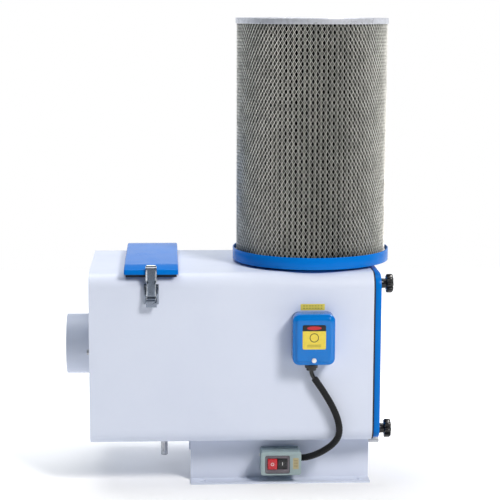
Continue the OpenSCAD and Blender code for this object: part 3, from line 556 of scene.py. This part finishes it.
def softened(node, material, slot, width):
    """A copy of a CAD node with its sharp edges rolled over by width, in place of the node.

    The copy's loose triangles are merged and its flat faces joined before the bevel.
    """
    sharp = 32
    source = frame["nodes"][node]
    piece = bpy.data.objects.new(node + "_shell", source.data.copy())
    bpy.context.scene.collection.objects.link(piece)
    piece.matrix_world = source.matrix_world
    work = bmesh.new()
    work.from_mesh(piece.data)
    bmesh.ops.remove_doubles(work, verts=work.verts, dist=2e-5)
    bmesh.ops.dissolve_limit(work, angle_limit=radians(0.6), verts=work.verts, edges=work.edges)
    work.to_mesh(piece.data)
    work.free()
    if "custom_normal" in piece.data.attributes:
        piece.data.attributes.remove(piece.data.attributes["custom_normal"])
    modify(piece, "roll", "BEVEL", width=width, segments=2, limit_method="ANGLE",
           angle_limit=radians(sharp), miter_outer="MITER_ARC")
    bake_modifiers(piece, sharp)
    finish_piece(piece, material, slot, BODY_OF[node], node)


def repaint(node, material):
    """Keeps a CAD node's shape and gives it a material."""
    slots = frame["nodes"][node].data.materials
    slots.clear()
    slots.append(material)


# ---------------------------------------------------------------- camera, light and floor

CASING_LOW, CASING_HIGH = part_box("casing_shell")
CAMERA_PLACE = Vector((-217.34, -3120.21, 914.57)) * MM
CAMERA_YAW, CAMERA_PITCH, CAMERA_ROLL = radians(3.004), radians(8.696), radians(0.175)
CAMERA_LENS, CAMERA_FILM = 114.714, 36
KEY_WAY = Vector((0.8, -1.0, 1.05)).normalized()
KEY_AWAY, KEY_SIZE, KEY_POWER, KEY_TINT = 4.2, (1.1, 1.1), 138, (1.0, 0.96, 0.92)
TOP_PLACE, TOP_SIZE, TOP_POWER = Vector((-0.3, 0.5, 2.4)), (2.2, 2.0), 46
ROOM_GLOW, ROOM_TINT = 0.1, (0.72, 0.93, 1.16)
PAPER_TINT = (0.95, 0.98, 1.02)
HIGH_SHARE = 0.25
FLOOR_HALF = 2.4
DIM_AHEAD, DIM_R, BRIGHT_R = 0.75, 0.7, 1.5


def set_camera():
    """Stands a little left of the middle and above the roof, 3.1 m in front."""
    flat = cos(CAMERA_PITCH)
    ahead = Vector((sin(CAMERA_YAW) * flat, cos(CAMERA_YAW) * flat, -sin(CAMERA_PITCH)))
    level = Vector((cos(CAMERA_YAW), -sin(CAMERA_YAW), 0))
    upright = level.cross(ahead)
    right = cos(CAMERA_ROLL) * level + sin(CAMERA_ROLL) * upright
    up = cos(CAMERA_ROLL) * upright - sin(CAMERA_ROLL) * level
    data = bpy.data.cameras.new("front_view")
    data.lens = CAMERA_LENS
    data.sensor_width = CAMERA_FILM
    data.dof.use_dof = False
    camera = bpy.data.objects.new("front_view", data)
    camera.matrix_world = Matrix((right, up, -ahead)).transposed().to_4x4()
    camera.location = CAMERA_PLACE
    bpy.context.scene.collection.objects.link(camera)
    bpy.context.scene.camera = camera


def softbox(name, place, target, size, power, tint=(1, 1, 1)):
    """A rectangular light at one place, turned to face another."""
    data = bpy.data.lights.new(name, "AREA")
    data.shape = "RECTANGLE"
    data.size, data.size_y = size
    data.energy = power
    data.color = tint
    light = bpy.data.objects.new(name, data)
    light.location = place
    light.rotation_euler = (Vector(target) - Vector(place)).to_track_quat("-Z", "Y").to_euler()
    bpy.context.scene.collection.objects.link(light)


def set_surroundings():
    """Dim cool room in front of the object and white paper behind it; white wherever it is seen.

    The paper's share climbs with the direction's Y, and falls to HIGH_SHARE above it.
    """
    world = bpy.data.worlds.new("pale_studio")
    air = Graph(world)
    _, back, up = air.split(air.add("ShaderNodeTexCoord", output="Generated"))
    paper_share = back.ramp(-0.15, 0.5) * up.ramp(0.2, 0.38, 1.0, HIGH_SHARE)
    glow = air.tree.nodes["Background"]
    air.put(glow.inputs["Color"], air.mix(paper_share, tuple(c * ROOM_GLOW for c in ROOM_TINT), PAPER_TINT))
    white = air.add("ShaderNodeBackground", None, {"Color": (1, 1, 1)})
    seen = air.add("ShaderNodeLightPath", output="Is Camera Ray")
    either = air.add("ShaderNodeMixShader", None, {0: seen, 1: Value(air, glow.outputs[0]), 2: white})
    air.put(air.tree.nodes["World Output"].inputs["Surface"], either)
    bpy.context.scene.world = world
    bpy.context.scene.view_settings.view_transform = "Standard"


def set_stage():
    """A key light at upper right in front, a soft light above, and a floor that fades to white.

    The floor's own glow climbs from dim to full between two distances from a point in front.
    """
    middle = (CASING_LOW + CASING_HIGH) / 2
    softbox("key", middle + KEY_WAY * KEY_AWAY, middle, KEY_SIZE, KEY_POWER, KEY_TINT)
    softbox("top", middle + TOP_PLACE, middle, TOP_SIZE, TOP_POWER)
    corners = np.array([(-1, -1, 0), (1, -1, 0), (1, 1, 0), (-1, 1, 0)]) * FLOOR_HALF
    floor = mesh_piece("studio_floor", corners, [(0, 1, 2, 3)])
    paper = Finish("pale_paper", specular_ior_level=0.1, emission_strength=0.5)
    grain = paper.noise(0.4, 2.0)
    paper.colour(paper.mix(grain, (0.95, 0.95, 0.95), (0.97, 0.97, 0.97)))
    paper.rough(grain.ramp(0.2, 0.8, 0.7, 0.8))
    x, y, _ = paper.axes((middle.x, CASING_LOW.y - DIM_AHEAD, 0))
    away = ((x ** 2 + y ** 2) ** 0.5).ramp(DIM_R, BRIGHT_R)
    paper.put(paper.shader.inputs["Emission Color"], paper.mix(away, (0.12, 0.12, 0.12), (1, 1, 1)))
    floor.data.materials.append(paper.material)


# ---------------------------------------------------------------- cable and conduit

CABLE_ROUTE = np.array([
    [54, -178, 233], [55, -178, 227], [57, -178, 222], [60, -178, 217], [69, -178, 204],
    [77, -178, 192], [85, -178, 179], [92, -178, 167], [98, -178, 155], [103, -178, 143],
    [107, -178, 130], [109, -177, 117], [108, -175, 105], [104, -171, 94], [96, -166, 83],
    [86, -159, 73], [75, -151, 64], [63, -142, 56], [51, -133, 50], [39, -124, 46],
]) * MM
CONDUIT_START = 3
CONDUIT_R = 6.5 * MM
CABLE_R = 4 * MM


def smooth_path(points, steps):
    """Catmull-Rom curve through the points, with that many steps between neighbours."""
    first, last = 2 * points[0] - points[1], 2 * points[-1] - points[-2]
    around = np.concatenate((first[None], points, last[None]))
    a, b, c, d = around[:-3, None], around[1:-2, None], around[2:-1, None], around[3:, None]
    t = (np.arange(steps) / steps)[None, :, None]
    bend, twist = 2 * a - 5 * b + 4 * c - d, 3 * b - a - 3 * c + d
    curve = 0.5 * (2 * b + (c - a) * t + bend * t ** 2 + twist * t ** 3)
    return np.concatenate((curve.reshape(-1, 3), points[-1:]))


def run_length(path):
    """Metres along a path to each of its points."""
    return np.concatenate(([0], np.cumsum(np.linalg.norm(np.diff(path, axis=0), axis=1))))


def tube(name, path, radii, sides, ends_ahead):
    """A round section carried along a path. Its side vector is the cross product of the
    path's direction and +Y, and it has a UV map: the turn round the tube, and metres along it.
    The directions at both ends are given.
    """
    ahead = np.gradient(path, axis=0)
    ahead[[0, -1]] = ends_ahead
    ahead /= np.linalg.norm(ahead, axis=1)[:, None]
    side = np.cross(ahead, (0, 1, 0))
    side /= np.linalg.norm(side, axis=1)[:, None]
    other = np.cross(side, ahead)
    turn = np.arange(sides) * 2 * pi / sides
    section = np.cos(turn)[None, :, None] * side[:, None] + np.sin(turn)[None, :, None] * other[:, None]
    points = path[:, None] + np.asarray(radii)[:, None, None] * section
    piece = mesh_piece(name, points, capped_faces(len(path), sides), 60)
    round_and_along = np.broadcast_arrays(turn[None] / (2 * pi), run_length(path)[:, None])
    vertex_uv = np.stack(round_and_along, -1).reshape(-1, 2)
    corner = np.zeros(len(piece.data.loops), int)
    piece.data.loops.foreach_get("vertex_index", corner)
    uv = vertex_uv[corner]
    start = np.zeros(len(piece.data.polygons), int)
    total = np.zeros(len(piece.data.polygons), int)
    piece.data.polygons.foreach_get("loop_start", start)
    piece.data.polygons.foreach_get("loop_total", total)
    quads = start[total == 4][:, None] + np.arange(4)
    lap = uv[quads, 0]
    lap[(lap.max(1) - lap.min(1) > 0.5)[:, None] & (lap < 0.5)] += 1
    uv[quads, 0] = lap
    piece.data.uv_layers.new(name="UVMap").data.foreach_set("uv", uv.ravel())
    return piece


def make_cable():
    """Thin cable out of the gland, and the braided sleeve that it goes into.

    The sleeve's radius rises and falls by 0.1 mm every 5 mm, and its mouths are drawn in.
    """
    path = smooth_path(CABLE_ROUTE[CONDUIT_START:], 14)
    length = run_length(path)
    ripple, pitch, drawn_in = 0.1 * MM, 5 * MM, 0.7 * MM
    radii = CONDUIT_R - 1.2 * ripple + ripple * np.cos(2 * pi * length / pitch)
    radii[[0, -1]] -= drawn_in
    sleeve_ahead = CABLE_ROUTE[CONDUIT_START + 1] - CABLE_ROUTE[CONDUIT_START - 1]
    sleeve = tube("conduit_sleeve", path, radii, 28, (sleeve_ahead, (-1, 0, 0)))
    finish_piece(sleeve, SLEEVE, "black_rubber", "frame", "conduit")
    inner_path = smooth_path(CABLE_ROUTE[:CONDUIT_START + 1], 8)
    inner = tube("cable_core", inner_path, np.full(len(inner_path), CABLE_R), 20, ((0, 0, -1), sleeve_ahead))
    finish_piece(inner, BLACK, "black_rubber", "frame", "inner_cable")


# ---------------------------------------------------------------- cartridge

MESH_LOW, MESH_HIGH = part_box("cartridge_mesh")
AXIS_X = (MESH_LOW.x + MESH_HIGH.x) / 2
MESH_R = (MESH_HIGH.x - MESH_LOW.x) / 2
CAP_LOW, CAP_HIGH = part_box("cartridge_top_cap")
BASE_CAP_LOW, BASE_CAP_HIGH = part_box("cartridge_bottom_cap")


def make_mesh_sleeve():
    """Expanded metal round the cartridge.

    Rows of nodes lie half a diamond apart. Between two rows one strand runs round in a
    zigzag, so node k of a row is a step higher when k + row is odd. Each strand is a thin
    flat bar that leans out at its upper edge, as the slit sheet leaves it.
    """
    across, tall = 8.0 * MM, 13.0 * MM
    wide, thick, lean = 1.6 * MM, 0.7 * MM, radians(30)
    inset, end_gap = 0.75 * MM, 1 * MM
    columns = 2 * round(2 * pi * MESH_R / across)
    low, high = MESH_LOW.z + end_gap, MESH_HIGH.z - end_gap
    rows = round((high - low) / (tall / 2))
    step = (high - low) / rows
    turn = np.arange(columns) * 2 * pi / columns
    row, node = np.meshgrid(np.arange(rows), np.arange(columns), indexing="ij")
    height = low + step * (row + (node + row) % 2)
    out = np.array([sin(lean), cos(lean)]) * wide / 2
    off = np.array([cos(lean), -sin(lean)]) * thick / 2
    section = np.array([-out - off, -out + off, out + off, out - off])
    radius = MESH_R - inset + section[:, 0]
    points = np.stack(np.broadcast_arrays(
        AXIS_X + radius * np.cos(turn)[None, :, None], radius * np.sin(turn)[None, :, None],
        height[..., None] + section[:, 1]), -1)
    ring = np.arange(columns)
    corner = np.arange(len(section))
    here = ring[:, None] * len(section) + corner
    there = ((ring + 1) % columns)[:, None] * len(section) + corner
    after = np.roll(corner, -1)
    quads = np.stack((here, there, there[:, after], here[:, after]), -1).reshape(-1, 4)
    first_of_row = (np.arange(rows) * columns * len(section))[:, None, None]
    piece = mesh_piece("expanded_mesh", points, (first_of_row + quads).reshape(-1, 4), 30)
    finish_piece(piece, STRAND, "mesh_steel", "cartridge", "cartridge_mesh")


def make_pleats():
    """Pleated paper round the core.

    Over each pleat, with u from -1 to 1, the outer face is at r = inner + depth (1 - |u|^n),
    which gives a round outer fold and a narrow valley. Folds wander a little with height.
    """
    pleats, per_pleat, rows = 84, 12, 13
    roundness, sway = 1.9, 0.0035
    low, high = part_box("cartridge_media")
    outer, depth, wall_t = (high.x - low.x) / 2 - 0.3 * MM, 30 * MM, 2.4 * MM
    columns = pleats * per_pleat
    k = np.arange(columns)
    u = 2 * (k / per_pleat % 1) - 1
    radius = outer - depth + depth * (1 - np.abs(u) ** roundness)
    height = np.linspace(low.z, high.z, rows)
    pleat = np.floor(k / per_pleat)
    wander = np.sin(pleat * 2.4 + 1) * np.sin(height[:, None] * 9 + pleat * 1.7) * sway
    turn = 2 * pi * k / columns + wander * (1 - np.abs(u) ** 2)

    def wall(r):
        """One face of the folds, from foot to top."""
        return np.stack((AXIS_X + r * np.cos(turn), r * np.sin(turn), height[:, None] + 0 * turn), -1)

    points = np.concatenate((wall(radius), wall(radius - wall_t)[::-1], wall(radius)[:1]))
    piece = mesh_piece("pleated_media", points, grid_faces(len(points), columns), 50)
    paper = pleated_paper("filter_paper_sheet", AXIS_X, outer)
    finish_piece(piece, paper, "filter_paper", "cartridge", "cartridge_media")


def make_caps():
    """Pressed sheet caps with rolled edges: a dished one on top, a ring below.

    The top cap's heights go down from its rim, the ring's go up from its foot.
    """
    sheet, rod_hole, dish_r, skirt, plate, dish_floor = 2, 5.5, 68, -11, -3.4, -25
    r = (CAP_HIGH.x - CAP_LOW.x) / 2 / MM
    piece = spun("top_cap_pressing", (AXIS_X, 0, CAP_HIGH.z), rolled([
        (rod_hole, dish_floor - sheet, 0.4), (dish_r, dish_floor - sheet, 3),
        (dish_r + 4, plate - sheet, 2), (r - 2.2, plate - sheet, 1), (r - 2.2, skirt, 0.5),
        (r, skirt, 0.9), (r, -0.2, 0.7), (r - 1.4, 0, 0.7), (r - 4.5, -0.6, 2), (r - 6, plate, 2),
        (dish_r + 7, plate, 3), (dish_r + 2, plate - 1, 3), (dish_r - sheet, dish_floor, 3),
        (rod_hole, dish_floor, 0.4)]))
    finish_piece(piece, CAP_ZINC, "zinc", "cartridge", "cartridge_top_cap")
    hole, wall = 100, 10
    r = (BASE_CAP_HIGH.x - BASE_CAP_LOW.x) / 2 / MM
    piece = spun("bottom_cap_pressing", (AXIS_X, 0, BASE_CAP_LOW.z), rolled([
        (hole, 0, 0.6), (r, 0, 0.9), (r, wall, 0.8), (r - sheet, wall, 0.5), (r - sheet, sheet, 1),
        (hole + sheet, sheet, 1), (hole + sheet, wall, 0.5), (hole, wall, 0.8)]))
    finish_piece(piece, CAP_ZINC, "zinc", "cartridge", "cartridge_bottom_cap")


# ---------------------------------------------------------------- star knobs


def make_knob(node):
    """Star knob: radius = R - lobe ((1 - cos 8a) / 2)^n over a rounded profile, on a round stem.

    The profile gives, for each step out from the cover, a distance along X, a radius and
    how much of the lobes it has.
    """
    lobes, lobe, hollow = 8, 4.6 * MM, 1.6
    low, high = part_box(node)
    y, z = (low.y + high.y) / 2, (low.z + high.z) / 2
    r = (high.y - low.y) / 2
    face, back = high.x, high.x - 12.7 * MM
    stem_r, stem_foot = 9.75 * MM, high.x - 23.2 * MM
    stud_r = 4 * MM
    steps = np.array([
        (low.x, 0.0, 0), (low.x, stud_r - 0.8 * MM, 0), (low.x + 1.2 * MM, stud_r, 0),
        (stem_foot, stud_r, 0), (stem_foot, stem_r - 0.6 * MM, 0), (stem_foot + 0.8 * MM, stem_r, 0),
        (back - 3 * MM, stem_r * 0.93, 0), (back - 0.6 * MM, stem_r, 0.1), (back, stem_r + 2 * MM, 0.3),
        (back, r - 2 * MM, 0.9), (back + 0.5 * MM, r - 0.7 * MM, 1), (back + 1.8 * MM, r, 1),
        (face - 2.6 * MM, r, 1), (face - 1 * MM, r - 0.8 * MM, 1), (face - 0.2 * MM, r - 2.4 * MM, 0.9),
        (face, r - 4 * MM, 0.7), (face - 0.1 * MM, r * 0.55, 0.1), (face - 0.9 * MM, r * 0.45, 0),
        (face - 1 * MM, 0.0, 0)])
    angle = np.arange(96) * 2 * pi / 96
    scallop = (0.5 - 0.5 * np.cos(lobes * angle)) ** hollow
    radius = steps[:, 1:2] - steps[:, 2:3] * lobe * scallop
    points = np.stack((steps[:, :1] + 0 * angle, y + radius * np.cos(angle), z + radius * np.sin(angle)), -1)
    piece = mesh_piece(node + "_moulding", points, grid_faces(len(steps), len(angle)), 42)
    finish_piece(piece, BLACK, "black_plastic", BODY_OF[node], node)


# ---------------------------------------------------------------- junction box


def make_junction_box():
    """Pressed steel box: deep base, and a lid with a raised panel and a scallop for its screw.

    The lid's fold and panel are (inset, height behind its face) steps in millimetres.
    """
    low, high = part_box("junction_base")
    lid_low, lid_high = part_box("junction_lid")
    x, z = (low.x + high.x) / 2, (low.z + high.z) / 2
    size = (high.x - low.x, high.z - low.z)
    corner_r, wall, rim = 13 * MM, 1.5 * MM, 12 * MM
    depth = high.y - low.y
    profile = [
        (1.4 * MM, depth), (0.4 * MM, depth - 0.3 * MM), (0, depth - 1.2 * MM), (0, 0),
        (wall, 0), (wall, depth - wall), (rim, depth - wall)]
    base = pressed("junction_pressing", (x, low.y, z), size, corner_r, profile)
    finish_piece(base, BOX_BLUE, "blue_paint", "frame", "junction_base")
    screw_z = low.z + 10 * MM
    scallop_r, scallop_depth, slope = 9.5 * MM, 1.6 * MM, 4 * MM

    def scallop(px, pz):
        """Sinks the lid round its screw, easing in over the slope from the scallop's edge."""
        return scallop_depth * ease((scallop_r - np.hypot(px - x, pz - screw_z)) / slope)

    fold = [
        (0.9, 11), (0.2, 10.6), (0, 9.6), (0, 6.2), (0.3, 5.0), (1.1, 4.1), (2.4, 3.7),
        (3.6, 3.5), (4.8, 3.1), (5.8, 2.2), (6.8, 1.1), (8.0, 0.4), (9.4, 0.08)]
    panel = [(inset, 0) for inset in (10.6, 12, 14, 16, 18, 20, 23, 26, 30)]
    scale = (lid_high.y - lid_low.y) / fold[0][1]
    profile = [(inset * MM, back * scale) for inset, back in fold + panel]
    shell = pressed("junction_lid_pressing", (x, lid_low.y, z), size, corner_r, profile, scallop, 60)
    finish_piece(shell, BOX_BLUE, "blue_paint", "frame", "junction_lid")


# ---------------------------------------------------------------- hatch cap


def make_hatch_cap():
    """Folded sheet cap: its section across the casing is closed by two end walls, every bend
    is rolled, and the open shell then gets the sheet's thickness inwards.
    """
    low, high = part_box("hatch_cap")
    drop, flat, sheet, bend_r = 4.5 * MM, 135 * MM, 1.5 * MM, 2.6 * MM
    section = np.array([(low.y, low.z), (low.y, high.z - drop), (-flat, high.z), (flat, high.z),
                        (high.y, high.z - drop), (high.y, low.z)])
    points = np.stack([np.insert(section, 0, x, axis=1) for x in (low.x, high.x)])
    count = len(section)
    faces = [(k, k + 1, k + 1 + count, k + count) for k in range(count - 1)]
    faces += [tuple(range(count)), tuple(range(count, 2 * count))[::-1]]
    cap = mesh_piece("hatch_cap_sheet", points, faces, 20)
    modify(cap, "roll", "BEVEL", width=bend_r, segments=4, limit_method="ANGLE", angle_limit=radians(5))
    modify(cap, "sheet", "SOLIDIFY", thickness=sheet, offset=-1)
    bake_modifiers(cap, 40)
    finish_piece(cap, BLUE, "blue_paint", "cassette", "hatch_cap")


# ---------------------------------------------------------------- latch strap


def make_strap():
    """Strap of the latch: sheet rolled round its pin below and curled forward above.

    A point is P(s) + N(s) (side t / 2 + rim S(|u|)) in Y and Z, and u w(s) in X: P is the path
    of the sheet's middle, N its normal towards the front, and S lifts both long edges. w is
    narrow up to the shoulder, full above it, and narrow again at the hook.
    """
    low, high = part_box("latch_claw")
    pin_low, pin_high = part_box("claw_pin")
    pin = np.array([(pin_low.y + pin_high.y) / 2, (pin_low.z + pin_high.z) / 2])
    middle_x, half_wide = (low.x + high.x) / 2, (high.x - low.x) / 2
    sheet, curl_r, barrel_r = 1.5 * MM, 2.4 * MM, 2.25 * MM
    shoulder, hook_inset, rim_h = 1.8 * MM, 2.2 * MM, 1.5 * MM
    back_y = pin[0] + 2 * MM - sheet / 2
    low_turn, top_turn = np.radians(np.linspace(-230, 20, 22)), np.radians(np.linspace(0, 235, 20))
    barrel = pin + barrel_r * np.stack((np.cos(low_turn), np.sin(low_turn)), -1)
    middle = (back_y - curl_r, high.z - curl_r - sheet / 2)
    curl = middle + curl_r * np.stack((np.cos(top_turn), np.sin(top_turn)), -1)
    straight_top = middle[1] - 1 * MM
    rise = np.linspace(pin[1] + 5 * MM, straight_top, 26)
    path = np.concatenate((barrel, np.stack((np.full(len(rise), back_y), rise), -1), curl))
    along = np.gradient(path, axis=0)
    along /= np.linalg.norm(along, axis=1)[:, None]
    normal = np.stack((-along[:, 1], along[:, 0]), -1)
    height = path[:, 1]
    above_pin = np.arange(len(path)) >= len(barrel)
    shoulder_z, rim_foot = high.z - 35 * MM, pin[1] + 6 * MM
    wide = np.clip((height - shoulder_z) / (3 * MM), 0, 1) * above_pin
    half = half_wide - shoulder * (1 - wide)
    half -= hook_inset * np.clip((height - middle[1]) / (2 * MM), 0, 1) * above_pin
    rim = rim_h * np.clip((height - rim_foot) / (6 * MM), 0, 1) * above_pin
    rim *= np.clip((straight_top - height) / (5 * MM), 0, 1)
    u = np.sin(np.linspace(-pi / 2, pi / 2, 25))
    lift = ease((np.abs(u) - 0.66) / 0.2)
    sides = []
    for side in (1, -1):
        away = side * sheet / 2 + rim[:, None] * lift
        across = u[::side] * half[:, None]
        yz = path[:, None] + normal[:, None] * away[:, ::side, None]
        sides.append(np.concatenate((middle_x + across[..., None], yz), -1))
    ring = np.concatenate(sides, 1)
    strap = mesh_piece("latch_strap", ring, capped_faces(*ring.shape[:2]), 38)

    def wear_and_highlight(finish):
        """Painted highlight: bright along both long edges and over the hook."""
        x, _, z = finish.axes((middle_x, 0, high.z))
        edge = abs(x).ramp(half_wide - 3.6 * MM, half_wide - 2.2 * MM)
        return edge.math("MAXIMUM", z.ramp(-7 * MM, -5 * MM))

    # strap_chrome carries the painted highlight on its edges and hook
    plate = brushed("strap_chrome", (0.21, 0.245, 0.305), 0.2, (1, 1, 0.06), wear_and_highlight=wear_and_highlight)
    finish_piece(strap, plate, "chrome", BODY_OF["latch_claw"], "latch_claw")


# ---------------------------------------------------------------- labels


def lid_print(finish, middle):
    """A dark band with a red oval, a plain ring, and two bars."""
    x, _, z = finish.axes(middle)
    band = z > 11.6 * MM
    oval = ((x / (13.5 * MM)) ** 2 + ((z - 17.4 * MM) / (3.5 * MM)) ** 2) < 1
    ring = abs((x ** 2 + (z + 1 * MM) ** 2) ** 0.5 - 8 * MM) < 0.7 * MM
    bars = (abs(x) < 13 * MM) * (abs(abs(z + 16.5 * MM) - 1.6 * MM) < 0.5 * MM)
    ink = (0.01, 0.01, 0.012)
    return [(band, ink), (oval, (0.55, 0.02, 0.03)), (ring, ink), (bars, (0.16, 0.14, 0.02))]


def strip_print(finish, middle):
    """Two rows of short dashes."""
    x, _, z = finish.axes(middle)
    rows = abs(abs(z) - 2.4 * MM) < 0.75 * MM
    dashes = x.wave(5.5 * MM) > 0.42
    return [(rows * (abs(x) < 20 * MM) * dashes * 0.75, (0.10, 0.08, 0.01))]


def rating_print(finish, middle):
    """A stack of short lines."""
    x, _, z = finish.axes(middle)
    lines = (abs(x) < 3.6 * MM) * (z.wave(3.1 * MM) > 0.72) * (abs(z) < 8.5 * MM)
    return [(lines * 0.8, (0.16, 0.12, 0.04))]


def make_label(name, middle, size, radius, ground, shapes, *nodes):
    """A thin plate with round corners in X and Z, printed on its front."""
    thick, edge = 0.3 * MM, 0.05 * MM
    profile = [(2 * edge, 0), (0, -edge), (0, edge - thick), (2 * edge, -thick), (radius * MM, -thick)]
    plate = pressed(name, middle, [side * MM for side in size], radius * MM, profile)
    print_finish = printed(name + "_print", ground, shapes, middle)
    finish_piece(plate, print_finish, "yellow_label", "frame", *nodes)


def make_labels():
    """A label on the junction box's lid, a strip above the box, and a plate on the switch."""
    box_x = sum(corner.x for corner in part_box("junction_base")) / 2
    strip_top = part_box("labels")[1].z
    lid_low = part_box("junction_lid")[0]
    switch_low, switch_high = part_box("switch_cover")
    switch_z = (switch_low.z + switch_high.z) / 2
    make_label("lid_label", (box_x, lid_low.y, lid_low.z + 54.5 * MM), (44, 46.5), 3,
               (0.78, 0.62, 0.07), lid_print, "labels")
    make_label("strip_label", (box_x, CASING_LOW.y, strip_top - 6 * MM), (46, 12), 0.8,
               (0.80, 0.66, 0.10), strip_print)
    make_label("rating_plate", (28.5 * MM, switch_low.y, switch_z), (11, 22), 0.8,
               (0.42, 0.36, 0.2), rating_print)


# ---------------------------------------------------------------- everything else

SOFTENED = {
    "base": (WHITE, "white_paint", 0.9), "inlet_duct": (WHITE, "white_paint", 0.6),
    "end_cover": (BLUE, "blue_paint", 1.6), "tray_collar": (BLUE, "blue_paint", 0.6),
    "latch_plate": (CHROME, "chrome", 0.4), "latch_lever": (CHROME, "chrome", 0.4),
    "box_screws": (SCREW, "zinc", 0.5),
    "inlet_screws": (ZINC, "zinc", 0.5), "cable_gland": (BLACK, "black_plastic", 1.2),
    "switch_body": (SWITCH, "switch_plastic", 0.8), "switch_cover": (SWITCH, "switch_plastic", 1.6),
    "switch_frame": (FRAME, "frame_plastic", 0.7), "stop_button": (RED, "red_plastic", 1.1),
    "start_button": (START, "black_plastic", 1.1), "hand_nut": (ZINC, "zinc", 1.0),
}
REPAINTED = {
    # cassette_chute takes the near-black painted shade under the hatch cap
    "casing_shell": WHITE, "inlet_panel": WHITE, "bulkhead": WHITE, "cassette_chute": CHUTE_SHADE,
    "motor_stand": GREY, "motor_housing": GREY, "end_shields": GREY, "base_bolts": ZINC,
    "cassette_frame": ZINC, "cassette_mesh": WIRE, "hatch_gasket": RUBBER, "inlet_cone": STEEL,
    "fan_wheel": ZINC, "fan_hub": STEEL, "wheel_bolt": ZINC, "motor_shaft": STEEL, "rotor": CORE,
    "stator": CORE, "motor_bearings": STEEL, "motor_bolts": ZINC, "collar_gasket": RUBBER,
    "cartridge_seal": RUBBER, "tie_rod": STEEL, "cartridge_core": STRAND, "hand_nut_washer": RUBBER,
    "cover_gasket": RUBBER, "weld_nuts": ZINC, "terminal_block": IVORY, "drain_pipes": ZINC,
    "claw_pin": STEEL,
}

set_camera()
make_cable()
set_surroundings()
set_stage()
make_mesh_sleeve()
make_pleats()
make_caps()
make_junction_box()
make_hatch_cap()
make_strap()
make_labels()
for knob in ("knob_front_top", "knob_back_top", "knob_front_bottom", "knob_back_bottom"):
    make_knob(knob)
for node, (material, slot, width) in SOFTENED.items():
    softened(node, material, slot, width * MM)
for node, material in REPAINTED.items():
    repaint(node, material)
